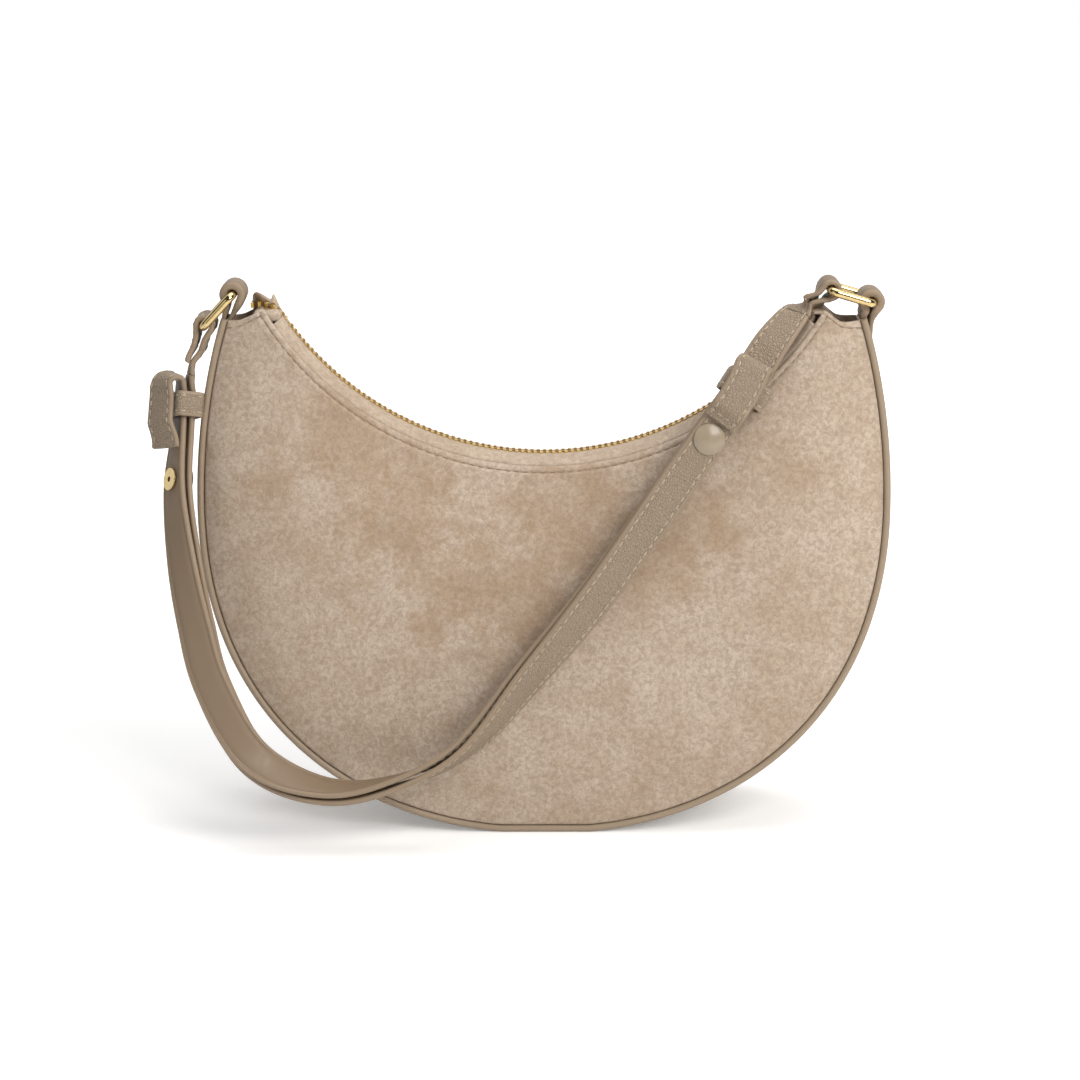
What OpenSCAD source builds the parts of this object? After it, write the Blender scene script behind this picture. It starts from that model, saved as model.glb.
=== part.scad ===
// Half moon shoulder bag: a crescent shell with a curved top zip, leather trim, two rectangular
// rings and a doubled strap. The front faces -Y, +Z is up, and the rest face lies on z = 0.

/* [Bag] */
// Width over the outer curve
body_w = 278.6; // [240:0.2:320]
// Height from the rest face to the top of the panels
body_h = 209; // [180:1:240]
// Height at which the outer curve is widest
belly_h = 137.5; // [120:0.5:160]
// Depth of the gusset at the base
base_d = 52; // [40:1:70]
// Depth of the gusset at the horns
horn_d = 10; // [8:0.5:14]
// How far the panels swell beyond a straight skin
panel_swell = 10; // [4:0.5:14]
// Thickness of a padded velvet panel
panel_t = 1.6; // [1.2:0.1:2]
// Thickness of the gusset leather
gusset_t = 1.4; // [1:0.1:1.8]
// How far the gusset sinks between the two edges at the sides
gusset_sink = 2; // [1:0.1:2.6]
// Diameter of the piped edge
piping_d = 2.8; // [2.2:0.1:3.2]
// Thickness of a lining
lining_t = 0.5; // [0.4:0.1:0.8]
// Depth of the flattened foot
foot_cut = 0.8; // [0.4:0.1:2]

/* [Zip] */
// How far the mouth dips below its corners
mouth_depth = 63.3; // [55:0.1:75]
// Distance of the mouth's corners from the bag's widest point
horn_in = 28.75; // [24:0.25:34]
// Height of the mouth's corners above the top of the panels
horn_rise = 4.08; // [3:0.02:6]
// Distance from the chain to each panel edge
zip_half = 10.4; // [9:0.1:12]
// How far the panel edge lies below the chain
zip_drop = 3; // [2:0.1:4]
// Distance between teeth on one side
tooth_pitch = 2.5; // [2.2:0.1:3]
// Thickness of the woven tape
tape_t = 0.6; // [0.5:0.1:0.8]
// Angle from the mouth's right corner to the closed slider
slider_in_a = 16; // [9:1:20]
// Angle from the mouth's left corner to the chain's other end
chain_in_a = 5; // [4.5:0.5:8]
// Length of the slider
slider_l = 9; // [8:0.5:11]
// Length of the puller
puller_l = 17; // [14:0.5:20]

/* [Rings] */
// Diameter of the ring's wire
wire_d = 3.4; // [3:0.1:4]
// Distance between the two long bars
ring_l = 17; // [15:0.5:20]
// Width inside the ring
ring_in_w = 16; // [15.6:0.1:18]
// Distance of the left tab bar from the bag's widest point
left_tab_in = 15.8; // [13:0.2:18]
// Distance of the right tab bar from the bag's widest point
right_tab_in = 9.3; // [6:0.1:11]
// Height of the left tab bar above the panels
left_tab_rise = 9.3; // [8:0.1:11]
// Height of the right tab bar above the panels
right_tab_rise = 6.4; // [5.5:0.1:8]
// Direction of the left ring from its tab bar
left_ring_a = 227; // [222:1:232]
// Direction of the right ring from its tab bar
right_ring_a = 163.6; // [160:0.2:168]

/* [Strap] */
// Width of the strap
strap_w = 14.6; // [14:0.1:15]
// Thickness of one strap layer
strap_t = 2.2; // [1.8:0.1:2.4]
// Gap between the two layers
strap_gap = 1.2; // [1:0.1:1.4]
// Thickness of the keeper's leather
keeper_t = 1.4; // [1:0.1:1.8]
// Height of a keeper along the strap
keeper_l = 10; // [8:0.5:12]
// Diameter of a snap's cap
cap_d = 12.5; // [11:0.5:14]

/* [Hidden] */

leather = [0.59, 0.52, 0.43];
velvet = [0.75, 0.66, 0.58];
cloth = [0.45, 0.38, 0.32];
gold = [0.83, 0.69, 0.42];
enamel = [0.65, 0.59, 0.5];

// clearances between neighbours
seam = 0.1;
fit = 0.4;
soft_gap = 0.3;
over = 1;

half_w = body_w / 2;
piping_r = piping_d / 2;

// outer curve: a rounded square below the widest height, a slow ellipse above it
curve_power = 2.15;
reach_cut = 24;
upper_reach = body_h - reach_cut;
lower_share = 0.744;
upper_end_a = asin((body_h + foot_cut - belly_h) / upper_reach);

function lower_pt(a) = [half_w * sign(a) * pow(abs(sin(a)), 2 / curve_power),
    belly_h * (1 - pow(abs(cos(a)), 2 / curve_power))];
function upper_pt(side, a) = [side * half_w * cos(a), belly_h + upper_reach * sin(a)];
function raw_rim(u) = abs(u) <= lower_share ? lower_pt(90 * u / lower_share)
    : upper_pt(sign(u), upper_end_a * (abs(u) - lower_share) / (1 - lower_share));
function rim(u) = [raw_rim(u)[0], max(raw_rim(u)[1] - foot_cut, 0)];
function unit(v) = v / norm(v);
// inward normal of the outer curve
rim_step_share = 0.004;
function rim_dir(u) = unit(raw_rim(min(u + rim_step_share, 1)) - raw_rim(max(u - rim_step_share, -1)));
function rim_in(u) = [-rim_dir(u)[1], rim_dir(u)[0]];
function rim_at(u, inset) = [rim(u)[0] + inset * rim_in(u)[0],
    max(rim(u)[1], 0) + inset * rim_in(u)[1]];

function blend_in(t) = let (k = min(max(t, 0), 1)) k * k * (3 - 2 * k);
taper_low_share = 0.1;
taper_high_share = 0.96;
function half_d(u) = let (t = (rim(u)[1] / body_h - taper_low_share) /
    (taper_high_share - taper_low_share))
    base_d / 2 + (horn_d - base_d) / 2 * blend_in(t);
sink_high_share = 0.3;
function sink(u) = gusset_sink * blend_in(rim(u)[1] / body_h / sink_high_share);

// top curve of the panels
horn_x = half_w - horn_in;
edge_r = (horn_x * horn_x + mouth_depth * mouth_depth) / (2 * mouth_depth);
corner_a = asin(horn_x / edge_r);
zip_r = edge_r - zip_drop;
zip_z = body_h + horn_rise + edge_r - mouth_depth;
zip_closed_a = corner_a - slider_in_a;
zip_open_a = corner_a - chain_in_a;
function edge_pt(u) = [edge_r * sin(corner_a * u), zip_z - edge_r * cos(corner_a * u)];

// panel surface: u runs from horn to horn, v from the zip edge to the piped edge
rim_inset = piping_d + seam;
rim_out = piping_r + panel_t / 2;
top_out = zip_half + panel_t;
function swell(u, v) = panel_swell * (1 - u * u) * 4 * v * (1 - v);
function panel_xz(u, v) = edge_pt(u) * (1 - v) + rim_at(u, rim_inset) * v;
function panel_y(u, v) = top_out * (1 - v) + (half_d(u) + rim_out) * v + swell(u, v);
function panel_pt(u, v, inward, side) = [panel_xz(u, v)[0], side * (panel_y(u, v) - inward),
    panel_xz(u, v)[1]];

// side walls and end caps of a solid through rings of equal, even length
function skin_faces(n, m, flip) = [
    for (i = [0:n - 2], j = [0:m - 1]) let (a = i * m + j, b = i * m + (j + 1) % m)
        each flip ? [[a, b + m, b], [a, a + m, b + m]] : [[a, b, b + m], [a, b + m, a + m]],
    for (k = [0:m / 2 - 2]) let (a = k, b = k + 1, c = m - 2 - k, d = m - 1 - k)
        each flip ? [[a, b, c], [a, c, d]] : [[a, c, b], [a, d, c]],
    for (k = [0:m / 2 - 2]) let (e = (n - 1) * m, a = e + k, b = e + k + 1,
        c = e + m - 2 - k, d = e + m - 1 - k)
        each flip ? [[a, c, b], [a, d, c]] : [[a, b, c], [a, c, d]]];
module skin(rings, flip = false) {
    polyhedron(points = [for (r = rings) each r],
        faces = skin_faces(len(rings), len(rings[0]), flip), convexity = 10);
}

u_steps = 44;
v_steps = 7;
module panel_patch(side, inward, thick, u0, u1, v0, v1, nu, nv) {
    rings = [for (i = [0:nu]) let (u = u0 + (u1 - u0) * i / nu) concat(
        [for (j = [0:nv]) panel_pt(u, v0 + (v1 - v0) * j / nv, inward, side)],
        [for (j = [nv:-1:0]) panel_pt(u, v0 + (v1 - v0) * j / nv, inward + thick, side)])];
    skin(rings, side > 0);
}

module front_panel() {
    color(velvet) panel_patch(-1, 0, panel_t, -1, 1, 0, 1, u_steps, v_steps);
}
module back_panel() {
    color(velvet) panel_patch(1, 0, panel_t, -1, 1, 0, 1, u_steps, v_steps);
}

// the lining hangs inside the tape's sewn edge
lining_in = panel_t + tape_t + 5 * seam;
lining_v0_share = 0.03;
lining_v1_share = 0.97;
lining_u_share = 0.97;
lining_u_steps = 30;
lining_v_steps = 5;
module lining(side) {
    panel_patch(side, lining_in, lining_t, -lining_u_share, lining_u_share,
        lining_v0_share, lining_v1_share, lining_u_steps, lining_v_steps);
}
module front_lining() { color(cloth) lining(-1); }
module back_lining() { color(cloth) lining(1); }

pocket_u_share = 0.34;
pocket_v0_share = 0.3;
pocket_v1_share = 0.84;
module inner_pocket() {
    color(cloth) panel_patch(1, lining_in + lining_t + 5 * seam, lining_t, -pocket_u_share,
        pocket_u_share, pocket_v0_share, pocket_v1_share, 12, 4);
}

// a strip that follows the outer curve between two insets
strip_steps = 30;
module strip(in0, in1, side_gap, steps) {
    rings = [for (i = [-steps:steps]) let (u = i / strip_steps, a = rim_at(u, sink(u) + in0),
        b = rim_at(u, sink(u) + in1), h = half_d(u) - side_gap)
        [[a[0], -h, a[1]], [a[0], h, a[1]], [b[0], h, b[1]], [b[0], -h, b[1]]]];
    skin(rings, true);
}
module gusset() { color(leather) strip(0, gusset_t, seam, strip_steps); }
stiff_t = 1.2;
stiff_steps = 9;
stiff_in = gusset_t + soft_gap;
stiff_gap = 3;
module base_stiffener() {
    color([0.3, 0.28, 0.26]) strip(stiff_in, stiff_in + stiff_t, stiff_gap, stiff_steps);
}
gusset_lining_in = stiff_in + stiff_t + soft_gap;
module gusset_lining() {
    color(cloth) strip(gusset_lining_in, gusset_lining_in + lining_t, 2 * lining_t,
        strip_steps - 1);
}

// piped edge: a round bead that follows the outer curve
bead_sides = 8;
module piping(side) {
    rings = [for (i = [-u_steps / 2:u_steps / 2]) let (u = 2 * i / u_steps,
        c = rim_at(u, piping_r), n = rim_in(u), y = half_d(u) + piping_r)
        [for (k = [0:bead_sides - 1]) let (a = 360 * (k + 0.5) / bead_sides,
            r = piping_r / cos(180 / bead_sides))
            [c[0] + r * cos(a) * n[0], side * (y + r * sin(a)), c[1] + r * cos(a) * n[1]]]];
    skin(rings, side < 0);
}
module front_piping() { color(leather) piping(-1); }
module back_piping() { color(leather) piping(1); }

// turns a profile drawn in radius and depth about the chain's centre
module about_chain(a0, a1) {
    translate([0, 0, zip_z]) rotate([90, 0, 0]) rotate([0, 0, a0 - 90])
        rotate_extrude(angle = a1 - a0, $fn = 180) children();
}
module at_chain(a) {
    translate([0, 0, zip_z]) rotate([0, -a, 0]) translate([0, 0, -zip_r]) children();
}

// one tape half: flat beside the teeth, then sloping down under the panel edge
tape_in_a = 3;
tape_end_a = corner_a - tape_in_a;
tape_flat = 2.6;
tape_inner_gap = 0.7;
tape_tail = 1.6;
tape_out = zip_half - seam;
module tape_profile(s) {
    polygon([[zip_r - tape_t / 2, s * tape_inner_gap],
        [zip_r - tape_t / 2, s * (tape_flat + 2 * tape_t)],
        [edge_r - tape_t, s * tape_out], [edge_r + tape_tail, s * tape_out],
        [edge_r + tape_tail, s * (tape_out - tape_t)], [edge_r + tape_t / 2, s * (tape_out - tape_t)],
        [zip_r + tape_t / 2, s * (tape_flat + tape_t)], [zip_r + tape_t / 2, s * tape_inner_gap]]);
}
module zip_tape_front() {
    color(velvet) about_chain(-tape_end_a, tape_end_a) tape_profile(1);
}
module zip_tape_back() {
    color(velvet) about_chain(-tape_end_a, tape_end_a) tape_profile(-1);
}

// a tooth clamps the tape's edge; its head stops short of the slider's web
tooth_l = 1.1;
tooth_half = 1.1;
tooth_root = 3.2;
web_t = 0.6;
web_gap = 0.3;
head_in = web_t / 2 + web_gap;
clamp_gap = 0.05;
cord_t = 0.4;
teeth_start_a = -zip_open_a;
teeth_end_a = zip_closed_a + 2;
tooth_step_a = tooth_pitch / zip_r * 180 / PI;
tooth_n = floor((teeth_end_a - teeth_start_a) / tooth_step_a);
module tooth_profile(s) {
    slot = tape_t / 2 + clamp_gap;
    polygon([[s * head_in, -tooth_half], [s * tooth_root, -tooth_half], [s * tooth_root, -slot],
        [s * tape_inner_gap, -slot], [s * tape_inner_gap, slot], [s * tooth_root, slot],
        [s * tooth_root, tooth_half], [s * head_in, tooth_half]]);
}
module teeth(s) {
    shift = s > 0 ? 0 : tooth_step_a / 2;
    for (i = [0:tooth_n - 1]) at_chain(teeth_start_a + shift + i * tooth_step_a)
        rotate([90, 0, 90]) linear_extrude(tooth_l, center = true) tooth_profile(-s);
    about_chain(teeth_start_a, teeth_end_a) polygon([
        [zip_r + tooth_half, s * tape_flat], [zip_r + tooth_half, s * tooth_root],
        [zip_r + tooth_half - cord_t, s * tooth_root], [zip_r + tooth_half - cord_t, s * tape_flat]]);
}
module zip_teeth_front() { color(gold) teeth(1); }
module zip_teeth_back() { color(gold) teeth(-1); }

// stops pinch the tape from above and below
stop_l_a = 0.7;
stop_gap_a = 0.5;
slider_half_a = slider_l / 2 / zip_r * 180 / PI;
module stop_profile(s, inner) {
    slot = tape_t / 2 + clamp_gap;
    polygon([[zip_r - tooth_half, s * inner], [zip_r - tooth_half, s * tooth_root],
        [zip_r - slot, s * tooth_root], [zip_r - slot, s * (tape_inner_gap - clamp_gap)],
        [zip_r + slot, s * (tape_inner_gap - clamp_gap)], [zip_r + slot, s * tooth_root],
        [zip_r + tooth_half, s * tooth_root], [zip_r + tooth_half, s * inner]]);
}
module zip_bottom_stop() {
    a = teeth_start_a - tooth_step_a / 2 - stop_gap_a;
    color(gold) for (s = [-1, 1]) about_chain(a - stop_l_a / 2, a) stop_profile(s, 0);
}
module zip_top_stops() {
    a = zip_closed_a + slider_half_a + stop_gap_a;
    color(gold) for (s = [-1, 1]) about_chain(a, a + stop_l_a) stop_profile(s, head_in);
}

// velvet tabs that finish both ends of the chain
end_out = 1.35;
end_drop = 0.36;
end_tab_l = 8.6;
end_tab_half = 8.4;
end_left_t = 5;
end_right_t = 2;
end_lip_t = 1;
lip_half = tooth_root + seam;
cover_t = 0.9;
end_tab_x = zip_r * sin(tape_end_a) + end_out;
end_tab_z = zip_z - zip_r * cos(tape_end_a) - end_drop;
module end_block(x, t) {
    translate([x, -end_tab_half, end_tab_z]) cube([end_tab_l, 2 * end_tab_half, t]);
}
module end_lip() {
    translate([end_tab_x - 2 * end_out, -lip_half, end_tab_z + end_right_t - end_lip_t])
        cube([2 * end_out + end_lip_t, 2 * lip_half, end_lip_t]);
}
module end_cover(a0, a1) {
    r1 = zip_r - tape_t / 2 - clamp_gap;
    about_chain(a0, a1) polygon([[r1 - cover_t, -tooth_root], [r1 - cover_t, tooth_root],
        [r1, tooth_root], [r1, -tooth_root]]);
}
join_a = 0.5;
cover_a = zip_closed_a + slider_half_a + 2 * stop_gap_a + stop_l_a;
module zip_end_left() {
    color(velvet) end_block(-end_tab_x - end_tab_l, end_left_t);
}
module zip_end_right() {
    color(velvet) union() {
        end_block(end_tab_x, end_right_t);
        end_lip();
        end_cover(cover_a, tape_end_a + join_a);
    }
}

// leather tabs: a loop over each ring's bar and a tail between the panels; the right one
// also laps over the gusset's outside
wire_r = wire_d / 2;
loop_bore_r = wire_r + fit;
loop_r = loop_bore_r + strap_t;
tab_t = 3;
tab_r = loop_bore_r + tab_t;
tab_w = 14;
left_tab_z = body_h + left_tab_rise;
right_tab_z = body_h + right_tab_rise;
left_tab_x = half_w - left_tab_in;
right_tab_x = half_w - right_tab_in;
leg_half = horn_d / 2 - fit;
knee_rise = 2.2;
tail_t = 2.2;
tail_reach = 12;
tail_x = rim_at(1, sink(1) + gusset_lining_in + lining_t + soft_gap)[0];
hip_a = 50;
left_shoulder_in = 12.6;
right_shoulder_in = 6.6;
shoulder_z = body_h + soft_gap;
lap_low_share = 0.963;
lap_inset = 0.9;
lap = [rim_at(1, sink(1) - soft_gap), rim_at(lap_low_share, sink(lap_low_share) - soft_gap),
    rim_at(lap_low_share, lap_inset)];
// the leg's outline from its knee round to its hip, drawn for the right side
function leg_outline(cx, cz, outer) = concat([[cx, cz], [cx - tab_r, cz],
    [tail_x, body_h + knee_rise], [tail_x - tail_t, body_h], [tail_x - tail_t, body_h - tail_reach],
    [tail_x, body_h - tail_reach], [tail_x, shoulder_z]], outer,
    [[cx + tab_r * cos(hip_a), cz - tab_r * sin(hip_a)]]);
module tab(cx, cz, outer, s) {
    difference() {
        union() {
            translate([s * cx, tab_w / 2, cz]) rotate([90, 0, 0])
                cylinder(r = tab_r, h = tab_w, $fn = 72);
            translate([0, leg_half, 0]) rotate([90, 0, 0]) linear_extrude(2 * leg_half)
                polygon([for (q = leg_outline(cx, cz, outer)) [s * q[0], q[1]]]);
        }
        translate([s * cx, tab_w, cz]) rotate([90, 0, 0])
            cylinder(r = loop_bore_r, h = 2 * tab_w, $fn = 72);
    }
}
module left_tab() {
    color(leather) tab(left_tab_x, left_tab_z, [[half_w - left_shoulder_in, shoulder_z]], -1);
}
module right_tab() {
    color(leather) tab(right_tab_x, right_tab_z, concat([[lap[0][0], shoulder_z]], lap,
        [[half_w - right_shoulder_in, shoulder_z]]), 1);
}
// slider: two plates joined by a web that runs between the rows of teeth
plate_gap = 0.4;
plate_t = 1;
slider_half_w = 4.6;
slider_nose = 3.2;
flange_t = 0.7;
flange_drop = 0.7;
web_l = 2.6;
bail_half = 2.9;
cheek_t = 0.8;
cheek_l = 2.6;
pin_d = 1.8;
eye_bore = pin_d + 2 * fit;
eye_d = eye_bore + 2 * plate_t;
plate_z = tooth_half + plate_gap;
pin_z = plate_z + plate_t + soft_gap + eye_d / 2;
module slider_plate() {
    h = slider_l / 2;
    linear_extrude(plate_t) polygon([[-h, -slider_nose], [-h, slider_nose],
        [0, slider_half_w], [h, slider_half_w], [h, -slider_half_w], [0, -slider_half_w]]);
}
module zip_slider() {
    color(gold) at_chain(zip_closed_a) union() {
        translate([0, 0, plate_z]) slider_plate();
        translate([0, 0, -plate_z - plate_t]) slider_plate();
        translate([slider_l / 2 - web_l, -web_t / 2, -plate_z - plate_t / 2])
            cube([web_l, web_t, 2 * plate_z + plate_t]);
        for (s = [-1, 1]) {
            translate([0, s * (slider_half_w - flange_t / 2) - flange_t / 2,
                plate_z - flange_drop]) cube([slider_l / 2, flange_t, flange_drop + plate_t / 2]);
            translate([-cheek_l / 2, s * (bail_half + cheek_t / 2) - cheek_t / 2,
                plate_z + plate_t / 2]) cube([cheek_l, cheek_t, pin_z - plate_z + plate_t / 2]);
        }
        translate([0, bail_half + cheek_t / 2, pin_z]) rotate([90, 0, 0])
            cylinder(d = pin_d, h = 2 * bail_half + cheek_t, $fn = 48);
    }
}
puller_w = 5;
puller_t = 1.3;
module zip_puller() {
    color(gold) at_chain(zip_closed_a) translate([0, 0, pin_z]) difference() {
        union() {
            translate([0, puller_w / 2, 0]) rotate([90, 0, 0])
                cylinder(d = eye_d, h = puller_w, $fn = 48);
            translate([-puller_l, -puller_w / 2, -puller_t / 2])
                cube([puller_l, puller_w, puller_t]);
        }
        translate([0, puller_w, 0]) rotate([90, 0, 0])
            cylinder(d = eye_bore, h = 2 * puller_w, $fn = 48);
    }
}

// rings: four bars joined by rounded corners; the strap is sewn round the outer bar
ring_half = ring_in_w / 2 + wire_r;
bend_r = 2.6;
module ring_bar(l) { rotate([90, 0, 0]) cylinder(r = wire_r, h = l, center = true, $fn = 48); }
module ring_bend() {
    rotate_extrude(angle = 90, $fn = 96) translate([bend_r, 0]) circle(r = wire_r, $fn = 48);
}
module ring() {
    run_y = 2 * (ring_half - bend_r);
    run_x = ring_l - 2 * bend_r;
    union() {
        for (x = [0, ring_l]) translate([x, 0, 0]) ring_bar(run_y);
        for (s = [-1, 1]) translate([bend_r, s * ring_half, 0]) rotate([0, 90, 0])
            cylinder(r = wire_r, h = run_x, $fn = 48);
        for (c = [[1, 1, 0], [0, 1, 90], [0, -1, 180], [1, -1, 270]])
            translate([c[0] * run_x + bend_r, c[1] * run_y / 2, 0]) rotate([0, 0, c[2]])
                ring_bend();
    }
}
module left_ring() {
    color(gold) translate([-left_tab_x, 0, left_tab_z]) rotate([0, -left_ring_a, 0]) ring();
}
module right_ring() {
    color(gold) translate([right_tab_x, 0, right_tab_z]) rotate([0, -right_ring_a, 0]) ring();
}
left_leg_a = 252;
right_leg_a = 224;
leg_l = 10;
end_gap = 0.6;
left_bar = [ring_l * cos(left_ring_a) - left_tab_x, 0, left_tab_z + ring_l * sin(left_ring_a)];
right_bar = [right_tab_x + ring_l * cos(right_ring_a), 0,
    right_tab_z + ring_l * sin(right_ring_a)];
module strap_end() {
    t = strap_t + strap_gap / 2;
    rotate([90, 0, 0]) linear_extrude(strap_w, center = true) difference() {
        union() {
            circle(r = loop_r, $fn = 72);
            translate([0, -t]) square([leg_l - end_gap, 2 * t]);
        }
        circle(r = loop_bore_r, $fn = 72);
        translate([0, -strap_gap / 2]) square([leg_l + over, strap_gap]);
    }
}
module left_strap_end() {
    color(leather) translate(left_bar) rotate([0, -left_leg_a, 0]) strap_end();
}
module right_strap_end() {
    color(leather) translate(right_bar) rotate([0, -right_leg_a, 0]) strap_end();
}

// strap route: shares of half the width, of the base depth and of the body height
route_share = [[-1.028, -0.045, 0.889], [-1.032, -0.09, 0.841], [-1.037, -0.17, 0.79],
    [-1.047, -0.38, 0.682], [-1.023, -0.63, 0.559], [-0.99, -0.77, 0.445], [-0.945, -0.845, 0.327],
    [-0.833, -0.91, 0.189], [-0.655, -0.93, 0.125], [-0.469, -0.92, 0.128],
    [-0.239, -0.88, 0.197], [-0.029, -0.79, 0.353], [0.167, -0.71, 0.511],
    [0.38, -0.53, 0.707], [0.465, -0.46, 0.785], [0.565, -0.385, 0.877],
    [0.641, -0.24, 0.956], [0.728, -0.04, 1.004]];
// direction from the inner layer to the outer layer at each station
face_share = [[0.97, 0.22, -0.1], [0.92, 0.4, 0], [0.89, 0.45, 0], [0.74, 0.67, 0],
    [0.5, 0.86, 0], [0.27, 0.95, 0], [0.1, 0.95, -0.2], [0, 0.75, -0.65], [0, 0.25, -0.97],
    [0.2, -0.15, -0.97], [0.4, -0.5, -0.75], [0.35, -0.85, -0.35], [0.15, -0.98, -0.1], [0, -1, 0],
    [0, -1, 0], [-0.05, -1, 0.05], [-0.3, -0.86, 0.33], [-0.5, -0.5, 0.65]];
function leg_end(bar, a) = bar + leg_l * [cos(a), 0, sin(a)];
function leg_face(a) = [-sin(a), 0, cos(a)];
stations = concat([left_bar, leg_end(left_bar, left_leg_a)],
    [for (p = route_share) [p[0] * half_w, p[1] * base_d, p[2] * body_h]],
    [leg_end(right_bar, right_leg_a), right_bar]);
faces_at = concat([leg_face(left_leg_a), leg_face(left_leg_a)], face_share,
    [-leg_face(right_leg_a), -leg_face(right_leg_a)]);
last = len(stations) - 1;
function pick(v, i) = v[min(max(i, 0), last)];
function weave(v, k) = let (i = min(floor(k), last - 1), t = k - i, a = pick(v, i - 1),
    b = pick(v, i), c = pick(v, i + 1), d = pick(v, i + 2))
    b + (t / 2) * ((c - a) + t * ((2 * a - 5 * b + 4 * c - d) + t * (3 * (b - c) + d - a)));
k_step_share = 0.05;
function along(k) = unit(weave(stations, min(k + k_step_share, last)) -
    weave(stations, max(k - k_step_share, 0)));
function facing(k) = let (t = along(k), n = weave(faces_at, k)) unit(n - (n * t) * t);
function across(k) = cross(along(k), facing(k));

// a layer's cross-section: place, outward direction and width direction
function section(p, n, w) = [p - n * strap_t / 2 - w * strap_w / 2,
    p + n * strap_t / 2 - w * strap_w / 2, p + n * strap_t / 2 + w * strap_w / 2,
    p - n * strap_t / 2 + w * strap_w / 2];
function run(k0, k1, steps, off0, off1) = [for (i = [0:steps]) let (k = k0 + (k1 - k0) * i / steps,
    o = off0 + (off1 - off0) * blend_in(i / steps))
    section(weave(stations, k) + o * facing(k), facing(k), across(k))];
// half a turn towards side s, from the layer's place to the tongue's
function fold(k, dir, s, steps) = let (p = weave(stations, k), t = dir * along(k),
    n = s * facing(k), w = across(k), r = (tongue_off - layer_off) / 2)
    [for (i = [1:steps - 1]) let (a = 180 * i / steps, m = n * cos(a) - t * sin(a))
        section(p + n * (layer_off + r * (1 - cos(a))) + t * r * sin(a), s * m, w)];
// the way back down over the keeper, with the section's sides in the folded order
function back_run(k0, k1, steps, s) = [for (i = [0:steps]) let (k = k0 + (k1 - k0) * i / steps,
    t = (i / steps - drop_share) / (1 - drop_share),
    o = s * (tongue_off + (rest_off - tongue_off) * blend_in(t)))
    section(weave(stations, k) + o * facing(k), -facing(k), across(k))];
layer_off = (strap_gap + strap_t) / 2;
keeper_gap = 1.2;
tongue_gap = 1;
pair_half = strap_t + strap_gap / 2;
tongue_off = pair_half + keeper_gap + keeper_t + tongue_gap + strap_t / 2;
rest_off = pair_half + soft_gap + strap_t / 2;
drop_share = 0.74;
tongue_steps = 12;

// stations of the keepers, folds, tongue ends and snaps
left_keep_share = 3.25;
right_keep_share = 17;
left_fold_share = 2.36;
right_fold_share = 17.34;
left_tongue_share = 4.4;
right_tongue_share = 16.33;
left_snap_share = 4.87;
right_snap_share = 16;
outer_start_share = 2;
inner_end_share = 18.9;
neck_gap_share = 0.03;
left_gap_share = 0.1;
right_gap_share = 0.3;
rise_share = 17.6;

snap_hole_d = 4;
module at_station(k) {
    x = along(k);
    z = facing(k);
    y = cross(z, x);
    translate(weave(stations, k)) rotate([atan2(y[2], z[2]), -asin(x[2]), atan2(x[1], x[0])])
        children();
}
module snap_hole(k) {
    at_station(k) cylinder(d = snap_hole_d, h = 2 * (pair_half + over), center = true, $fn = 24);
}
module strap_outer() {
    color(leather) difference() {
        skin(concat(run(outer_start_share, right_fold_share, 74, layer_off, layer_off),
            fold(right_fold_share, 1, 1, 8),
            back_run(right_fold_share, right_tongue_share, tongue_steps, 1)));
        snap_hole(left_snap_share);
        snap_hole(right_snap_share);
    }
}
module strap_inner() {
    color(leather) difference() {
        back = back_run(left_fold_share, left_tongue_share, tongue_steps, -1);
        skin(concat([for (i = [tongue_steps:-1:0]) back[i]],
            [for (i = [6:-1:0]) fold(left_fold_share, -1, -1, 8)[i]],
            run(left_fold_share, rise_share, 72, -layer_off, -layer_off),
            [for (i = [1:6]) run(rise_share, inner_end_share, 6, -layer_off, layer_off)[i]]));
        snap_hole(left_snap_share);
        snap_hole(right_snap_share);
    }
}
module left_neck() {
    color(leather) skin(run(1 + left_gap_share, outer_start_share - neck_gap_share, 5,
        layer_off, layer_off));
}
module right_neck() {
    color(leather) skin(run(inner_end_share + neck_gap_share, last - 1 - right_gap_share, 6, layer_off,
        layer_off));
}

keeper_round = 1.5;
module pill(l, w, r) {
    union() {
        square([l - 2 * r, w], center = true);
        square([l, w - 2 * r], center = true);
        for (x = [-1, 1], y = [-1, 1]) translate([x * (l / 2 - r), y * (w / 2 - r)])
            circle(r = r, $fn = 24);
    }
}
module keeper(k) {
    h = 2 * (pair_half + keeper_gap);
    w = strap_w + 2 * keeper_gap;
    color(leather) at_station(k) rotate([90, 0, 90]) linear_extrude(keeper_l, center = true)
        difference() {
            pill(w + 2 * keeper_t, h + 2 * keeper_t, keeper_round);
            square([w, h], center = true);
        }
}
module left_keeper() { keeper(left_keep_share); }
module right_keeper() { keeper(right_keep_share); }

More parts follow.
